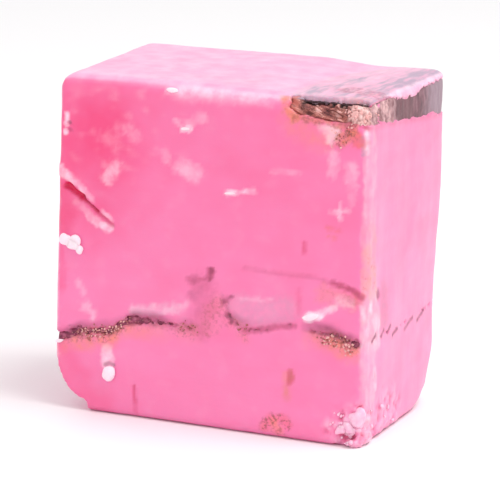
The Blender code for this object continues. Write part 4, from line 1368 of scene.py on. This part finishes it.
def make_chocolate_crumbs(look, pieces, rng):
    """Crumbs of chocolate and of its pale fat, pulled out of the layer and the slab by the knife."""
    smear = [(18.0, 44.2), (20.2, 44.9), (22.0, 46.6)]
    dark_runs = [
        (0.36, RIBBONS["left"], (-22.5, -12.5), 0.5, -0.2),
        (0.10, RIBBONS["left"], (-4.6, -1.0), 0.45, 0.0),
        (0.20, RIBBONS["right"], (17.6, 23.8), 0.4, -0.6),
        (0.06, RIBBONS["middle"], (4.4, 7.0), 0.3, 0.0),
        (0.12, smear, (19.0, 22.0), 0.6, 0.0),
    ]
    bits = scatter(pieces, rng, look.chocolate_count, dark_runs, (0.16, 0.36))
    piece = join(bits, "chocolate_crumbs")
    finish_piece(piece, bit_finish("chocolate_crumb", "8E4A50", "BE7468", 0.1))

    pale_runs = [
        (0.46, RIBBONS["left"], (-20.5, -13.5), 0.45, -0.2),
        (0.42, RIBBONS["right"], (18.4, 23.6), 0.45, -0.75),
        (0.12, smear, (18.4, 22.0), 0.7, 0.0),
    ]
    bits = scatter(pieces, rng, look.fat_count, pale_runs, (0.18, 0.42))
    break_runs = [(1.0, [(20.0, 48.4), (24.6, 48.0)], (20.4, 24.4), 0.55, 0.0)]
    bits += scatter(pieces, rng, look.break_count, break_runs, (0.2, 0.5))
    bits += add_bits(pieces, SLAB_LUMPS, 40.0, 0.4, 0.35)
    piece = join(bits, "pale_fat_crumbs")
    finish_piece(piece, bit_finish("cocoa_fat_crumb", "F4BAB8", "E09A96", 0.2))


# ---- Stage ----


def make_lamp(name, place, size, power):
    """A square soft lamp that looks at the middle of the block. Power is in watts."""
    lamp = bpy.data.lights.new(name, "AREA")
    lamp.size = size
    lamp.energy = power
    holder = bpy.data.objects.new(name, lamp)
    bpy.context.scene.collection.objects.link(holder)
    holder.location = place
    holder.rotation_euler = (Vector(LAMP_AIM) - Vector(place)).to_track_quat("-Z", "Y").to_euler()


def floor_finish(colour):
    """Matt white laminate, smooth, with a slight unevenness in its gloss."""
    material, tree, shader, place = new_material("matt_white_laminate")
    values = {"Vector": place, "Scale": per_mm(40.0), "Detail": 2.0}
    wear = add_node(tree, "TexNoise", values).outputs["Fac"]
    roughness = add_node(tree, "MapRange", {"Value": wear, 3: 0.5, 4: 0.6}).outputs["Result"]
    wire(tree, shader, {"Base Color": opaque(colour), "Roughness": roughness})
    return material


# ---- Operators ----


class FUDGE_OT_stage(bpy.types.Operator):
    """Make the pale floor, the soft light and the photo's camera."""

    bl_idname = "fudge.stage"
    bl_label = "Floor, light and camera"

    def execute(self, context):
        look = context.scene.fudge_studio
        add = bpy.ops.mesh.primitive_circle_add
        floor = new_piece("floor", add, vertices=96, radius=FLOOR_RADIUS, fill_type="NGON")
        floor.data.materials.append(floor_finish(look.floor))

        world = bpy.data.worlds.new("white_studio")
        world.use_nodes = True
        world.node_tree.nodes["Background"].inputs["Color"].default_value = (1.0, 1.0, 1.0, 1.0)
        world.node_tree.nodes["Background"].inputs["Strength"].default_value = look.sky
        context.scene.world = world
        for name, (place, size) in LAMPS.items():
            make_lamp(f"{name}_lamp", place, size, getattr(look, name))

        lens = bpy.data.cameras.new("photo_camera")
        lens.sensor_width = SENSOR
        lens.lens = look.lens
        camera = bpy.data.objects.new("photo_camera", lens)
        context.scene.collection.objects.link(camera)
        camera.location = Vector(CAMERA_PLACE) * MM
        look_at = (Vector(AIM) - Vector(CAMERA_PLACE)).to_track_quat("-Z", "Y")
        camera.rotation_euler = (look_at @ Quaternion((0.0, 0.0, 1.0), ROLL)).to_euler()
        context.scene.camera = camera
        context.scene.view_settings.view_transform = "Standard"
        return {"FINISHED"}


class FUDGE_OT_block(bpy.types.Operator):
    """Make the pink block with its cracks, smears, dried film, painted light and shade, and crumbled corner.
    """

    bl_idname = "fudge.block"
    bl_label = "Fudge block"

    def execute(self, context):
        look = context.scene.fudge_block
        piece = block_form("cut_fudge_block", look.cell, look.uneven)
        refine(piece)
        weather(piece)
        finish_piece(piece, fudge_finish(look))
        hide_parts("fudge_block")
        return {"FINISHED"}


class FUDGE_OT_chocolate(bpy.types.Operator):
    """Make the slab in the upper corner and the three ribbons of the thin layer."""

    bl_idname = "fudge.chocolate"
    bl_label = "Chocolate slab and layer"

    def execute(self, context):
        look = context.scene.fudge_chocolate
        block = context.scene.fudge_block
        form = block_form("block_form", block.form_cell, block.uneven)
        make_slab(look, form)
        material = ribbon_finish(look)
        for name in RIBBONS:
            make_ribbon(name, look, form, material)
        remove(form)
        return {"FINISHED"}


class FUDGE_OT_bits(bpy.types.Operator):
    """Make the white chips and the crumbs of fudge and chocolate."""

    bl_idname = "fudge.bits"
    bl_label = "Chips and crumbs"

    def execute(self, context):
        look = context.scene.fudge_crumbs
        rng = np.random.default_rng(look.seed)
        names = ["cut_fudge_block", "broken_chocolate_slab", *(f"thin_chocolate_{name}" for name in RIBBONS)]
        pieces = [bpy.data.objects[name] for name in names]
        make_white_chips(look, pieces)
        make_pink_crumbs(look, pieces, rng)
        make_chocolate_crumbs(look, pieces, rng)
        return {"FINISHED"}


OPERATORS = (FUDGE_OT_stage, FUDGE_OT_block, FUDGE_OT_chocolate, FUDGE_OT_bits)
SETTINGS = {
    "fudge_block": FudgeSettings,
    "fudge_chocolate": ChocolateSettings,
    "fudge_crumbs": CrumbSettings,
    "fudge_studio": StudioSettings,
}


class FUDGE_PT_panel(bpy.types.Panel):
    """The pieces and their settings."""

    bl_label = "Strawberry fudge"
    bl_space_type = "VIEW_3D"
    bl_region_type = "UI"
    bl_category = "Fudge"

    def draw(self, context):
        for operator in OPERATORS:
            self.layout.operator(operator.bl_idname)
        for name, group in SETTINGS.items():
            box = self.layout.box()
            for setting in group.__annotations__:
                box.prop(getattr(context.scene, name), setting)


def register():
    """Register the classes and put the settings on the scene."""
    for made in (*SETTINGS.values(), *OPERATORS, FUDGE_PT_panel):
        bpy.utils.register_class(made)
    for name, group in SETTINGS.items():
        setattr(bpy.types.Scene, name, PointerProperty(type=group))


def unregister():
    """Take the settings off the scene and unregister the classes."""
    for name in SETTINGS:
        delattr(bpy.types.Scene, name)
    for made in reversed((*SETTINGS.values(), *OPERATORS, FUDGE_PT_panel)):
        bpy.utils.unregister_class(made)


def main():
    """Make everything."""
    register()
    bpy.ops.fudge.stage()
    bpy.ops.fudge.block()
    bpy.ops.fudge.chocolate()
    bpy.ops.fudge.bits()


if __name__ == "__main__":
    main()
